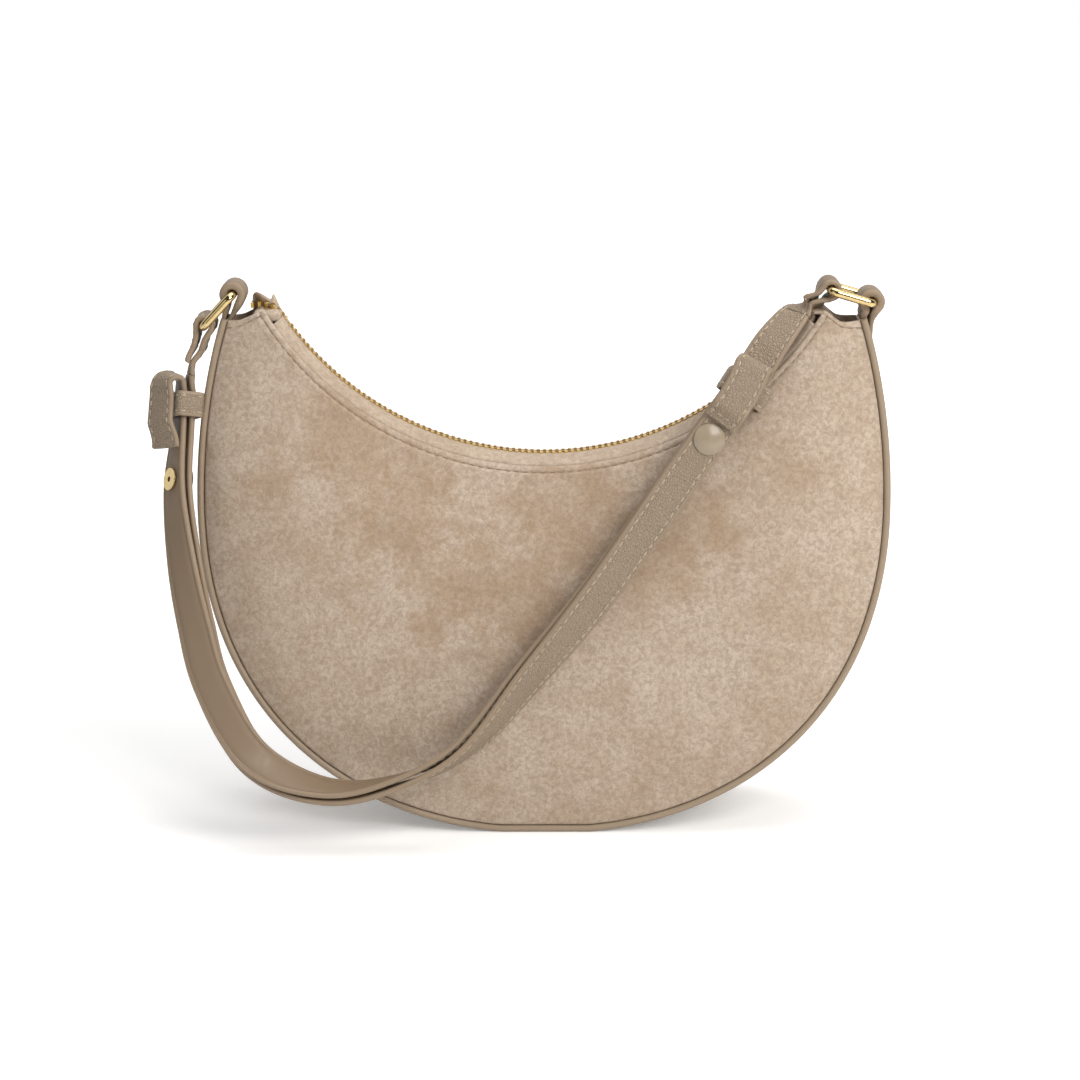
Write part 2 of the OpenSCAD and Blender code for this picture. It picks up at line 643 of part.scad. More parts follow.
// snaps: a domed cap over the outer layer, a socket and a stud between the layers, and a
// hollow flange on the inner layer
cap_rise = 1.7;
cap_seat = 0.6;
post_d = 3.4;
socket_d = 7.5;
stud_d = 6.5;
flange_d = 9;
flange_h = 0.7;
eyelet_bore = 2.2;
snap_gap = 0.05;
snap_half = 0.25;
module snap_cap(k) {
    z0 = pair_half + cap_seat;
    r = (cap_d * cap_d / 4 + cap_rise * cap_rise) / (2 * cap_rise);
    color(enamel) at_station(k) union() {
        intersection() {
            translate([0, 0, z0 + cap_rise - r]) sphere(r = r, $fn = 96);
            translate([0, 0, z0]) cylinder(d = cap_d, h = cap_rise, $fn = 48);
        }
        translate([0, 0, snap_gap]) cylinder(d = post_d, h = z0, $fn = 24);
    }
}
module snap_socket(k) {
    color(gold) at_station(k) translate([0, 0, snap_gap]) difference() {
        cylinder(d = socket_d, h = snap_half - snap_gap, $fn = 48);
        translate([0, 0, -over]) cylinder(d = post_d + 2 * seam, h = 2 * over, $fn = 24);
    }
}
module snap_stud(k) {
    low = -pair_half - cap_seat - flange_h;
    color(gold) at_station(k) difference() {
        union() {
            translate([0, 0, -snap_half])
                cylinder(d = stud_d, h = snap_half - snap_gap, $fn = 48);
            translate([0, 0, low]) cylinder(d = post_d, h = -low - snap_gap, $fn = 24);
            translate([0, 0, low]) cylinder(d = flange_d, h = flange_h, $fn = 48);
        }
        translate([0, 0, low - over]) cylinder(d = eyelet_bore, h = 2 * over - low, $fn = 24);
    }
}
module left_snap_cap() { snap_cap(left_snap_share); }
module right_snap_cap() { snap_cap(right_snap_share); }
module left_snap_socket() { snap_socket(left_snap_share); }
module right_snap_socket() { snap_socket(right_snap_share); }
module left_snap_stud() { snap_stud(left_snap_share); }
module right_snap_stud() { snap_stud(right_snap_share); }

front_panel();
back_panel();
front_lining();
back_lining();
gusset();
gusset_lining();
front_piping();
back_piping();
base_stiffener();
inner_pocket();
zip_tape_front();
zip_tape_back();
zip_teeth_front();
zip_teeth_back();
zip_bottom_stop();
zip_top_stops();
zip_end_left();
zip_end_right();
left_tab();
right_tab();
zip_slider();
zip_puller();
left_ring();
left_strap_end();
right_ring();
right_strap_end();
strap_outer();
strap_inner();
left_neck();
right_neck();
left_keeper();
right_keeper();
left_snap_cap();
left_snap_socket();
left_snap_stud();
right_snap_cap();
right_snap_socket();
right_snap_stud();
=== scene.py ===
# %% [markdown]
# # Half moon bag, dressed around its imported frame
# The bag is a crescent shell: two velvet panels, a leather gusset between them, a curved zip over
# the mouth, and a doubled leather strap on two rectangular rings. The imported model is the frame.
# This lesson rebuilds each soft piece as a finer mesh in the place its solid holds, gives every
# piece a procedural finish, and sets the bag in soft studio light on a white floor.

# %% Load the frame
import math

import bmesh
import bpy
import numpy as np
from mathutils import Matrix, Vector, noise


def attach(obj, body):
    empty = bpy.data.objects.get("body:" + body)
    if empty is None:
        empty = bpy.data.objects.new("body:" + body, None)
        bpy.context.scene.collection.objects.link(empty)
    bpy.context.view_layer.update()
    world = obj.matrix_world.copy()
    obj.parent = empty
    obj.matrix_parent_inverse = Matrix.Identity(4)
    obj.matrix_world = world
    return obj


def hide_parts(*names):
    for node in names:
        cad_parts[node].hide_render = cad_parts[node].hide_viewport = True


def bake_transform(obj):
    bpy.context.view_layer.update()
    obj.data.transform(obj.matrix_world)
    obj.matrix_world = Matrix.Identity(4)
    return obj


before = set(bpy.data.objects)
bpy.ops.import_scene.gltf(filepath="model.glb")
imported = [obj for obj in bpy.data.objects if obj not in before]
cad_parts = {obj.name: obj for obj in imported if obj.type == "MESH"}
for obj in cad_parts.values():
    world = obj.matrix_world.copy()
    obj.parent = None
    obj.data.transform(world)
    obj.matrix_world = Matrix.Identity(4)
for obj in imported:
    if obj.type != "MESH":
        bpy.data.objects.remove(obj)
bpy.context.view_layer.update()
scene = bpy.context.scene

# %% [markdown]
# ## Camera
# The photograph looks slightly down on the bag from straight ahead. The bag's bottom edge and the
# ring heights fix the tilt at about 15 degrees, and the width of the bag in the picture fixes the
# distance for a portrait lens. The camera comes first, so that every later choice is judged in it.

# %% Camera
MM = 0.001
CAM_TILT = 15.0
CAM_AWAY = 1020 * MM
CAM_AIM = Vector((-1.6, -30.0, 124.3)) * MM
FRAME_W = 428.1 * MM
SENSOR = 36.0


def make_camera():
    data = bpy.data.cameras.new("photo_camera")
    data.sensor_width = SENSOR
    data.lens = SENSOR * CAM_AWAY / FRAME_W
    cam = bpy.data.objects.new("photo_camera", data)
    scene.collection.objects.link(cam)
    tilt = math.radians(CAM_TILT)
    back = Vector((0, -math.cos(tilt), math.sin(tilt)))
    cam.location = CAM_AIM + back * CAM_AWAY
    cam.rotation_euler = (math.pi / 2 - tilt, 0, 0)
    data.clip_start, data.clip_end = 0.01, 20
    scene.camera = cam
    print("camera: lens %.0f mm" % data.lens)


make_camera()

# %% [markdown]
# ## Small helpers
# Every piece below is a list of points and faces, so one helper turns such lists into an object.
# Colours are written as they look on a screen and turned into the linear values that shaders use.

# %% Mesh and colour helpers


def linear(r, g, b):
    """Screen colour, 0 to 255, as a linear colour with alpha."""
    def one(c):
        c /= 255
        return c / 12.92 if c <= 0.04045 else ((c + 0.055) / 1.055) ** 2.4
    return one(r), one(g), one(b), 1.0


def darker(colour, share):
    return tuple(c * share for c in colour[:3]) + (1.0,)


def mesh_piece(name, points, faces, material, smooth=True, skin=None, edges=()):
    """A new object at the origin, where skin is one number for each point."""
    data = bpy.data.meshes.new(name)
    data.from_pydata([tuple(p) for p in points], list(edges), faces)
    if smooth:
        data.polygons.foreach_set("use_smooth", [True] * len(data.polygons))
    if skin is not None:
        attribute = data.attributes.new("skin", "FLOAT", "POINT")
        attribute.data.foreach_set("value", np.array(skin, np.float32))
    obj = bpy.data.objects.new(name, data)
    scene.collection.objects.link(obj)
    if material is not None:
        data.materials.append(material)
    return obj


def grid_faces(rows, cols, close_rows=False, close_cols=False):
    """Quads over rows x cols points stored row by row."""
    faces = []
    for i in range(rows if close_rows else rows - 1):
        for j in range(cols if close_cols else cols - 1):
            a, b = i * cols + j, i * cols + (j + 1) % cols
            c, d = (i + 1) % rows * cols + (j + 1) % cols, (i + 1) % rows * cols + j
            faces.append((a, b, c, d))
    return faces


def ease(t):
    t = min(max(t, 0.0), 1.0)
    return t * t * (3 - 2 * t)


def outward(obj):
    """Points the faces of a closed piece outwards."""
    bm = bmesh.new()
    bm.from_mesh(obj.data)
    bmesh.ops.recalc_face_normals(bm, faces=bm.faces)
    bm.to_mesh(obj.data)
    bm.free()
    return obj


print("helpers ready")

# %% [markdown]
# ## The bag's own measures
# The source draws the bag from a few curves: a rounded outer curve, a circular zip line, a gusset
# that narrows towards the horns, and a panel that swells between its edges. The same curves are
# written here in millimetres, so that each dressed piece lands on its solid.

# %% Shell curves
HALF_W, BODY_H, BELLY_H = 139.3, 209.0, 137.5
BASE_D, HORN_D, SWELL = 52.0, 10.0, 10.0
PANEL_T, GUSSET_T, GUSSET_SINK, PIPING_D, RIM_GAP = 1.6, 1.4, 2.0, 2.8, 0.1
FOOT_CUT, POWER, UPPER_REACH, LOWER_SHARE = 0.8, 2.15, 185.0, 0.744
ZIP_R, ZIP_Z, ZIP_HALF, ZIP_DROP = 125.185, 277.965, 10.4, 3.0
ZIP_LOW = ZIP_Z - ZIP_R
EDGE_R = ZIP_R + ZIP_DROP
CORNER_A = 59.59
CLOSED_A, OPEN_A = 43.59, 54.59
HORN_FROM, HORN_SPAN, SINK_SPAN, NORMAL_STEP = 0.1, 0.86, 0.3, 0.004
UPPER_END = math.degrees(math.asin((BODY_H + FOOT_CUT - BELLY_H) / UPPER_REACH))
PIPING_R = PIPING_D / 2


def rim_raw(u):
    if abs(u) <= LOWER_SHARE:
        a = math.radians(90 * u / LOWER_SHARE)
        x = HALF_W * math.copysign(abs(math.sin(a)) ** (2 / POWER), a)
        return x, BELLY_H * (1 - abs(math.cos(a)) ** (2 / POWER))
    a = math.radians(UPPER_END * (abs(u) - LOWER_SHARE) / (1 - LOWER_SHARE))
    return math.copysign(HALF_W * math.cos(a), u), BELLY_H + UPPER_REACH * math.sin(a)


def rim_in(u):
    """Inward normal of the outer curve."""
    a, b = rim_raw(max(u - NORMAL_STEP, -1)), rim_raw(min(u + NORMAL_STEP, 1))
    d = Vector((b[0] - a[0], b[1] - a[1])).normalized()
    return -d[1], d[0]


def rim_at(u, inset):
    x, z = rim_raw(u)
    n = rim_in(u)
    return x + inset * n[0], max(z - FOOT_CUT, 0) + inset * n[1]


def half_d(u):
    t = (max(rim_raw(u)[1] - FOOT_CUT, 0) / BODY_H - HORN_FROM) / HORN_SPAN
    return BASE_D / 2 + (HORN_D - BASE_D) / 2 * ease(t)


def sink(u):
    return GUSSET_SINK * ease(max(rim_raw(u)[1] - FOOT_CUT, 0) / BODY_H / SINK_SPAN)


def edge_pt(u):
    """Point of the panel's zip edge as x, z."""
    a = math.radians(CORNER_A * u)
    return EDGE_R * math.sin(a), ZIP_Z - EDGE_R * math.cos(a)


def panel_pt(u, v, inward=0.0):
    """Point of the front or back panel as x, depth from the middle, z."""
    e, r = edge_pt(u), rim_at(u, PIPING_D + RIM_GAP)
    y = ((ZIP_HALF + PANEL_T) * (1 - v) + (half_d(u) + PIPING_R + PANEL_T / 2) * v
         + SWELL * (1 - u * u) * 4 * v * (1 - v))
    return e[0] * (1 - v) + r[0] * v, y - inward, e[1] * (1 - v) + r[1] * v


def chain_pt(a, depth=0.0, rise=0.0):
    """Point on the zip's curve at angle a; rise is towards the circle's centre."""
    r = ZIP_R - rise
    return Vector((r * math.sin(math.radians(a)), depth, ZIP_Z - r * math.cos(math.radians(a))))


print("shell: %.0f wide, %.0f high, mouth low point %.0f mm" % (2 * HALF_W, BODY_H, ZIP_LOW))

# %% [markdown]
# ## Shared shader effects
# Three effects return in many materials: fine grain that lifts a surface, soft clouds of colour,
# and leather pebbles. Each is a node group with named inputs, built once. A group only puts out
# masks and heights, and each material keeps its own Principled shader.

# %% Node helpers


def node_in(tree, kind, **values):
    node = tree.nodes.new(kind)
    for key, value in values.items():
        setattr(node, key, value)
    return node


def new_group(name, inputs, outputs):
    group = bpy.data.node_groups.new(name, "ShaderNodeTree")
    for label, kind, default in inputs:
        socket = group.interface.new_socket(label, in_out="INPUT", socket_type=kind)
        if default is not None:
            socket.default_value = default
    for label, kind in outputs:
        group.interface.new_socket(label, in_out="OUTPUT", socket_type=kind)
    return group, group.nodes.new("NodeGroupInput"), group.nodes.new("NodeGroupOutput")


def math_node(tree, operation, a, b, clamp=False):
    """A Math node; a and b are sockets or numbers. Gives its output."""
    node = node_in(tree, "ShaderNodeMath", operation=operation, use_clamp=clamp)
    for slot_index, value in enumerate((a, b)):
        if isinstance(value, (int, float)):
            node.inputs[slot_index].default_value = value
        else:
            tree.links.new(value, node.inputs[slot_index])
    return node.outputs[0]


def noise_node(tree, vector, scale, detail, rough=0.5, warp=0.0):
    node = node_in(tree, "ShaderNodeTexNoise")
    node.inputs["Detail"].default_value = detail
    node.inputs["Roughness"].default_value = rough
    node.inputs["Distortion"].default_value = warp
    tree.links.new(vector, node.inputs["Vector"])
    if isinstance(scale, (int, float)):
        node.inputs["Scale"].default_value = scale
    else:
        tree.links.new(scale, node.inputs["Scale"])
    return node.outputs["Fac"]


def mask_node(tree, value, low, high):
    """Value stretched so that low is 0 and high is 1, smoothly."""
    node = node_in(tree, "ShaderNodeMapRange", interpolation_type="SMOOTHSTEP")
    tree.links.new(value, node.inputs["Value"])
    node.inputs["From Min"].default_value = low
    node.inputs["From Max"].default_value = high
    return node.outputs["Result"]


def mix_colour(tree, factor, a, b):
    node = node_in(tree, "ShaderNodeMix", data_type="RGBA")
    tree.links.new(factor, node.inputs["Factor"])
    for key, value in (("A", a), ("B", b)):
        socket = [s for s in node.inputs if s.name == key and s.type == "RGBA"][0]
        if isinstance(value, tuple):
            socket.default_value = value
        else:
            tree.links.new(value, socket)
    return [s for s in node.outputs if s.type == "RGBA"][0]


def pebble_group():
    """Leather pebbles: a height that is round on each cell and low in the creases."""
    group, into, out = new_group(
        "leather_pebbles",
        [("Vector", "NodeSocketVector", None), ("Scale", "NodeSocketFloat", 700.0),
         ("Fine", "NodeSocketFloat", 0.25)],
        [("Height", "NodeSocketFloat"), ("Crease", "NodeSocketFloat")])
    links = group.links
    wobble = node_in(group, "ShaderNodeTexNoise")
    wobble.inputs["Scale"].default_value = 220
    links.new(into.outputs["Vector"], wobble.inputs["Vector"])
    shift = node_in(group, "ShaderNodeVectorMath", operation="SCALE")
    shift.inputs["Scale"].default_value = 0.0014
    links.new(wobble.outputs["Color"], shift.inputs[0])
    moved = node_in(group, "ShaderNodeVectorMath", operation="ADD")
    links.new(into.outputs["Vector"], moved.inputs[0])
    links.new(shift.outputs[0], moved.inputs[1])
    cells = node_in(group, "ShaderNodeTexVoronoi", feature="DISTANCE_TO_EDGE")
    links.new(moved.outputs[0], cells.inputs["Vector"])
    links.new(into.outputs["Scale"], cells.inputs["Scale"])
    dome = mask_node(group, cells.outputs["Distance"], 0.0, 0.34)
    fine_scale = math_node(group, "MULTIPLY", into.outputs["Scale"], 4.0)
    fine = noise_node(group, into.outputs["Vector"], fine_scale, detail=2.0)
    lifted = math_node(group, "MULTIPLY", fine, into.outputs["Fine"])
    links.new(math_node(group, "ADD", dome, lifted), out.inputs["Height"])
    crease = mask_node(group, cells.outputs["Distance"], 0.12, 0.0)
    links.new(crease, out.inputs["Crease"])
    return group


def cloud_group():
    """Soft clouds at two sizes, 0 to 1, for uneven colour."""
    group, into, out = new_group(
        "soft_clouds",
        [("Vector", "NodeSocketVector", None), ("Large", "NodeSocketFloat", 25.0),
         ("Small", "NodeSocketFloat", 160.0), ("Share", "NodeSocketFloat", 0.5)],
        [("Mask", "NodeSocketFloat")])
    big = noise_node(group, into.outputs["Vector"], into.outputs["Large"], detail=4.0, rough=0.6,
                     warp=0.4)
    small = noise_node(group, into.outputs["Vector"], into.outputs["Small"], detail=3.0,
                       rough=0.65)
    spare = math_node(group, "SUBTRACT", 1.0, into.outputs["Share"])
    total = math_node(group, "ADD", math_node(group, "MULTIPLY", big, into.outputs["Share"]),
                      math_node(group, "MULTIPLY", small, spare))
    group.links.new(mask_node(group, total, 0.34, 0.66), out.inputs["Mask"])
    return group


def pile_group():
    """Velvet pile: short tufts as height, and how far each tuft leans to the light."""
    group, into, out = new_group(
        "velvet_pile",
        [("Vector", "NodeSocketVector", None), ("Scale", "NodeSocketFloat", 900.0)],
        [("Height", "NodeSocketFloat"), ("Lean", "NodeSocketFloat")])
    tufts = noise_node(group, into.outputs["Vector"], into.outputs["Scale"], detail=4.0,
                       rough=0.7)
    lean_scale = math_node(group, "MULTIPLY", into.outputs["Scale"], 0.42)
    lean = noise_node(group, into.outputs["Vector"], lean_scale, detail=3.0, rough=0.7, warp=0.8)
    group.links.new(tufts, out.inputs["Height"])
    group.links.new(mask_node(group, lean, 0.3, 0.7), out.inputs["Lean"])
    return group


PEBBLES, CLOUDS, PILE = pebble_group(), cloud_group(), pile_group()
print("groups:", [g.name for g in (PEBBLES, CLOUDS, PILE)])

# %% [markdown]
# ## Materials
# Velvet is matt with a pale sheen at its edges. Its colour shows warm, darker clouds and, on the
# front, listed darker places. Tufts that lean away from the light are painted darker, as painted
# shade. The leather is pebbled on one side of a strap, smooth on the other and painted on the cut
# edges, so a number stored on each point, called skin, tells the shader which face it is on. The
# strap's smooth side has a darker colour, as painted shade.

# %% Material helpers


def new_material(name, roughness, metallic=0.0, sheen=0.0, coat=0.0):
    mat = bpy.data.materials.new(name)
    mat.use_nodes = True
    shader = mat.node_tree.nodes["Principled BSDF"]
    shader.inputs["Roughness"].default_value = roughness
    shader.inputs["Metallic"].default_value = metallic
    shader.inputs["Sheen Weight"].default_value = sheen
    shader.inputs["Coat Weight"].default_value = coat
    return mat, mat.node_tree, shader


def use_group(tree, group, **values):
    node = tree.nodes.new("ShaderNodeGroup")
    node.node_tree = group
    for key, value in values.items():
        if isinstance(value, (int, float)):
            node.inputs[key].default_value = value
        else:
            tree.links.new(value, node.inputs[key])
    return node


def bump(tree, shader, height, distance, strength):
    node = node_in(tree, "ShaderNodeBump")
    node.inputs["Strength"].default_value = strength
    node.inputs["Distance"].default_value = distance
    tree.links.new(height, node.inputs["Height"])
    tree.links.new(node.outputs["Normal"], shader.inputs["Normal"])


def object_coords(tree):
    return tree.nodes.new("ShaderNodeTexCoord").outputs["Object"]


def attribute(tree, name):
    node = node_in(tree, "ShaderNodeAttribute", attribute_name=name)
    return node.outputs["Fac"]


print("material helpers ready")

# %% Velvet
# Places of the front coloured darker, in millimetres: x, z, radius and strength.
DARKENED_PLACES = [(-52, 128, 26, 0.9), (-30, 104, 22, 0.7), (-8, 96, 20, 0.8), (-1, 95, 5, 1.0),
           (-47, 88, 9, 0.8), (14, 130, 30, 0.7), (60, 128, 20, 0.7), (-110, 150, 16, 0.5),
           (-78, 160, 22, 0.6), (40, 112, 22, 0.5), (88, 150, 20, 0.5), (-20, 72, 14, 0.5)]
PILE_SCALE, RAGGED = 1300.0, 2.6
# Shares of the clouds, of the listed darker places, and of the painted shade on tufts that lean
# away from the light.
CLOUD_SHARE, DARKENED_SHARE, TUFT_SHADE_SHARE = 0.62, 0.6, 0.55


def velvet_material(name, shade, darkened, deep, places=()):
    mat, tree, shader = new_material(name, 0.92, sheen=0.35)
    shader.inputs["Sheen Roughness"].default_value = 0.45
    shader.inputs["Sheen Tint"].default_value = linear(232, 214, 196)
    shader.inputs["Specular IOR Level"].default_value = 0.2
    coords = object_coords(tree)
    pile = use_group(tree, PILE, Vector=coords, Scale=PILE_SCALE)
    clouds = use_group(tree, CLOUDS, Vector=coords, Large=20.0, Small=70.0, Share=0.5)
    spots = None
    split = node_in(tree, "ShaderNodeSeparateXYZ")
    tree.links.new(coords, split.inputs[0])
    rag = noise_node(tree, coords, 90.0, detail=5.0, rough=0.7, warp=0.6)
    for x, z, radius, strength in places:
        dx = math_node(tree, "SUBTRACT", split.outputs["X"], x * MM)
        dz = math_node(tree, "SUBTRACT", split.outputs["Z"], z * MM)
        far = math_node(tree, "SQRT", math_node(
            tree, "ADD", math_node(tree, "MULTIPLY", dx, dx),
            math_node(tree, "MULTIPLY", dz, dz)), 0.0)
        reach = math_node(tree, "ADD", math_node(tree, "DIVIDE", far, radius * MM),
                          math_node(tree, "MULTIPLY",
                                    math_node(tree, "SUBTRACT", rag, 0.5), RAGGED))
        one = math_node(tree, "MULTIPLY", mask_node(tree, reach, 1.25, 0.35), strength)
        spots = one if spots is None else math_node(tree, "MAXIMUM", spots, one)
    tone = math_node(tree, "MULTIPLY", clouds.outputs["Mask"], CLOUD_SHARE)
    if spots is not None:
        tone = math_node(tree, "ADD", tone, math_node(tree, "MULTIPLY", spots, DARKENED_SHARE),
                         clamp=True)
    base = mix_colour(tree, tone, shade, darkened)
    # Painted shade in the pile: tufts that lean away from the light take on the deep colour.
    tuft_shade = math_node(tree, "MULTIPLY", math_node(
        tree, "SUBTRACT", 1.0, pile.outputs["Lean"]), TUFT_SHADE_SHARE)
    tree.links.new(mix_colour(tree, tuft_shade, base, deep), shader.inputs["Base Color"])
    bump(tree, shader, pile.outputs["Height"], distance=0.0006, strength=0.55)
    return mat


# Velvet tones: base, darker, and deep, the colour of the painted shade on tufts that lean away from
# the light.
PILE_TONES = linear(196, 180, 163), linear(168, 145, 121), linear(132, 112, 93)
VELVET = velvet_material("velvet_pile", *PILE_TONES, DARKENED_PLACES)
VELVET_BACK = velvet_material("velvet_pile_back", *PILE_TONES)
TAPE_VELVET = velvet_material("velvet_tape", linear(192, 175, 157), linear(172, 152, 131),
                              linear(139, 120, 101))
print("velvet:", VELVET.name, "with", len(DARKENED_PLACES), "brushed places")

# %% Leather
PEBBLE_SCALE, PEBBLE_DEPTH = 900.0, 0.0003


def leather_material(name, body, crease, paint, under, smooth_only=False):
    """Pebbled where skin is 1, smooth and of the under colour where it is -1, painted at 0."""
    mat, tree, shader = new_material(name, 0.5)
    shader.inputs["Specular IOR Level"].default_value = 0.4
    coords = object_coords(tree)
    pebbles = use_group(tree, PEBBLES, Vector=coords, Scale=PEBBLE_SCALE, Fine=0.2)
    clouds = use_group(tree, CLOUDS, Vector=coords, Large=60.0, Small=420.0, Share=0.5)
    side = attribute(tree, "skin")
    rough_side = mask_node(tree, side, 0.4, 0.9)
    cut_edge = math_node(tree, "SUBTRACT", 1.0, mask_node(
        tree, math_node(tree, "ABSOLUTE", side, 0.0), 0.2, 0.6))
    if smooth_only:
        rough_side = math_node(tree, "MULTIPLY", rough_side, 0.3)
    lined = math_node(tree, "MULTIPLY", math_node(
        tree, "MULTIPLY", pebbles.outputs["Crease"], rough_side), 0.75)
    shaded = mix_colour(tree, math_node(tree, "MULTIPLY", clouds.outputs["Mask"], 0.35), body,
                        darker(body, 0.78))
    # Where skin is -1 the smooth side takes the under colour; for the strap that colour is made
    # darker, as painted shade.
    smooth_side = mask_node(tree, side, -0.4, -0.9)
    shaded = mix_colour(tree, smooth_side, shaded, under)
    lined_colour = mix_colour(tree, lined, shaded, crease)
    tree.links.new(mix_colour(tree, cut_edge, lined_colour, paint), shader.inputs["Base Color"])
    fine = noise_node(tree, coords, 2400.0, detail=3.0, rough=0.6)
    height = math_node(tree, "ADD", math_node(
        tree, "MULTIPLY", pebbles.outputs["Height"], rough_side),
        math_node(tree, "MULTIPLY", fine, 0.12))
    bump(tree, shader, height, PEBBLE_DEPTH, strength=0.9)
    wear = math_node(tree, "ADD", 0.42, math_node(tree, "MULTIPLY", clouds.outputs["Mask"], 0.2))
    tree.links.new(wear, shader.inputs["Roughness"])
    return mat


# The strap's last colour, for its smooth side, is made darker than its body: painted shade.
STRAP_LEATHER = leather_material("strap_leather", linear(156, 138, 117), linear(112, 97, 80),
                                 linear(143, 124, 103), linear(128, 109, 88))
TRIM_LEATHER = leather_material("trim_leather", linear(156, 139, 118), linear(118, 103, 86),
                                linear(145, 127, 106), linear(152, 134, 113), smooth_only=True)
print("leather:", STRAP_LEATHER.name, TRIM_LEATHER.name)

# %% Metal, thread, lining and enamel


def gold_material(name, colour, roughness):
    mat, tree, shader = new_material(name, roughness, metallic=1.0)
    coords = object_coords(tree)
    haze = noise_node(tree, coords, 500.0, detail=3.0, rough=0.6)
    scratch = noise_node(tree, coords, 2600.0, detail=2.0, rough=0.5)
    tree.links.new(math_node(tree, "ADD", roughness - 0.04,
                             math_node(tree, "MULTIPLY", haze, 0.09)),
                   shader.inputs["Roughness"])
    tone = mix_colour(tree, mask_node(tree, haze, 0.3, 0.7), colour, darker(colour, 0.86))
    tree.links.new(tone, shader.inputs["Base Color"])
    bump(tree, shader, scratch, distance=0.00001, strength=0.4)
    return mat


def thread_material(name, colour):
    mat, tree, shader = new_material(name, 0.75, sheen=0.3)
    coords = object_coords(tree)
    twist = noise_node(tree, coords, 4200.0, detail=2.0, rough=0.5)
    tone = mix_colour(tree, mask_node(tree, twist, 0.35, 0.65), colour, darker(colour, 0.7))
    tree.links.new(tone, shader.inputs["Base Color"])
    bump(tree, shader, twist, distance=0.00008, strength=0.8)
    return mat


def cloth_material(name, colour, count=1500.0):
    """Plain weave: two sets of fine waves crossing."""
    mat, tree, shader = new_material(name, 0.85, sheen=0.1)
    coords = object_coords(tree)
    waves = []
    for direction in ("X", "Z"):
        wave = node_in(tree, "ShaderNodeTexWave", bands_direction=direction)
        wave.inputs["Scale"].default_value = count
        wave.inputs["Distortion"].default_value = 0.6
        tree.links.new(coords, wave.inputs["Vector"])
        waves.append(wave.outputs["Fac"])
    weave = math_node(tree, "MAXIMUM", waves[0], waves[1])
    tree.links.new(mix_colour(tree, weave, darker(colour, 0.6), colour),
                   shader.inputs["Base Color"])
    bump(tree, shader, weave, distance=0.0001, strength=0.5)
    return mat


def enamel_material(name, colour):
    mat, tree, shader = new_material(name, 0.38, coat=0.25)
    coords = object_coords(tree)
    haze = noise_node(tree, coords, 300.0, detail=4.0, rough=0.6)
    tone = mix_colour(tree, mask_node(tree, haze, 0.35, 0.7), colour, darker(colour, 0.9))
    tree.links.new(tone, shader.inputs["Base Color"])
    bump(tree, shader, haze, distance=0.00002, strength=0.3)
    return mat


GOLD = gold_material("pale_gold", linear(232, 206, 150), 0.14)
ZIP_GOLD = gold_material("zip_gold", linear(222, 186, 104), 0.26)
THREAD = thread_material("strap_thread", linear(186, 168, 142))
PANEL_THREAD = thread_material("panel_thread", linear(150, 124, 100))
LINING = cloth_material("lining_cloth", linear(116, 98, 82))
BOARD = cloth_material("stiff_board", linear(70, 64, 58), 700.0)
ENAMEL = enamel_material("cap_enamel", linear(153, 137, 115))
print("other finishes:", [m.name for m in (GOLD, ZIP_GOLD, THREAD, LINING, ENAMEL)])

# %% [markdown]
# ## Lofting closed strips
# Panels, linings and bands are all closed strips: a loop of points that travels along a curve.
# One function joins such loops, closes both ends and points the faces outwards.

# %% Loft


def loft(name, rings, material, skin=None, closed=False):
    """rings: equal loops of points in millimetres. skin follows one loop, or is one list a ring."""
    count, size = len(rings), len(rings[0])
    points = [Vector(p) * MM for ring in rings for p in ring]
    faces = grid_faces(count, size, close_rows=closed, close_cols=True)
    if not closed:
        for base, turn in ((0, False), ((count - 1) * size, True)):
            for k in range(size // 2 - 1):
                quad = (base + k, base + k + 1, base + size - 2 - k, base + size - 1 - k)
                faces.append(quad if turn else quad[::-1])
    if skin is not None:
        each = isinstance(skin[0], list)
        skin = [value for ring in skin for value in ring] if each else list(skin) * count
    return outward(mesh_piece(name, points, faces, material, skin=skin))


def report(obj):
    print("%s: %d faces" % (obj.name, len(obj.data.polygons)))
    return obj


def settle(obj, node, body):
    """Hides the solid that a finished piece stands for, if it stands for one, and puts it under its
    body.
    """
    if node:
        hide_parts(node)
    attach(obj, body)
    return report(obj)


def bend(obj, node):
    """Hides the solid that a finished leather piece stands for, if any, and bakes its place into
    its points.
    """
    if node:
        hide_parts(node)
    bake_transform(obj)
    return report(obj)


# %% [markdown]
# ## Velvet panels
# Each panel is velvet over a thin pad. It swells between the zip edge and the piped edge. Its
# zip edge is folded and topstitched, so the surface rolls in at the edge and dips along the
# stitches; its outer edge turns in against the piping. The loop of points is dense at both edges,
# where the eye looks, and even in the middle. At each horn the panel ends in a folded hem that
# dips into a shallow V.

# %% Velvet panels
FOLD_R, STITCH_AT, STITCH_DIP, DIP_WIDE, TUCK = 0.9, 2.3, 0.45, 0.4, 1.3
# The low ridge beside the stitches: its height, its way from them and its width.
RIDGE_HIGH, RIDGE_OFF, RIDGE_WIDE = 0.25, 1.3, 0.9
NEAR = [0.0, 0.15, 0.4, 0.75, 1.2, 1.6, 1.9, 2.15, 2.3, 2.45, 2.7, 3.1, 3.8, 5.0]
RIM_NEAR = [0.0, 0.2, 0.5, 0.9, 1.5, 2.3, 3.4]
PANEL_STEPS, MIDDLE, PANEL_FILL, NEAR_SHARE, RIM_SHARE = 230, 58, 0.35, 0.3, 0.2
# Near a horn, one whole of u counts as END_SPAN millimetres, and the V takes up HEM_SHARE of it.
END_SPAN, HEM_SHARE = 200.0, 0.1
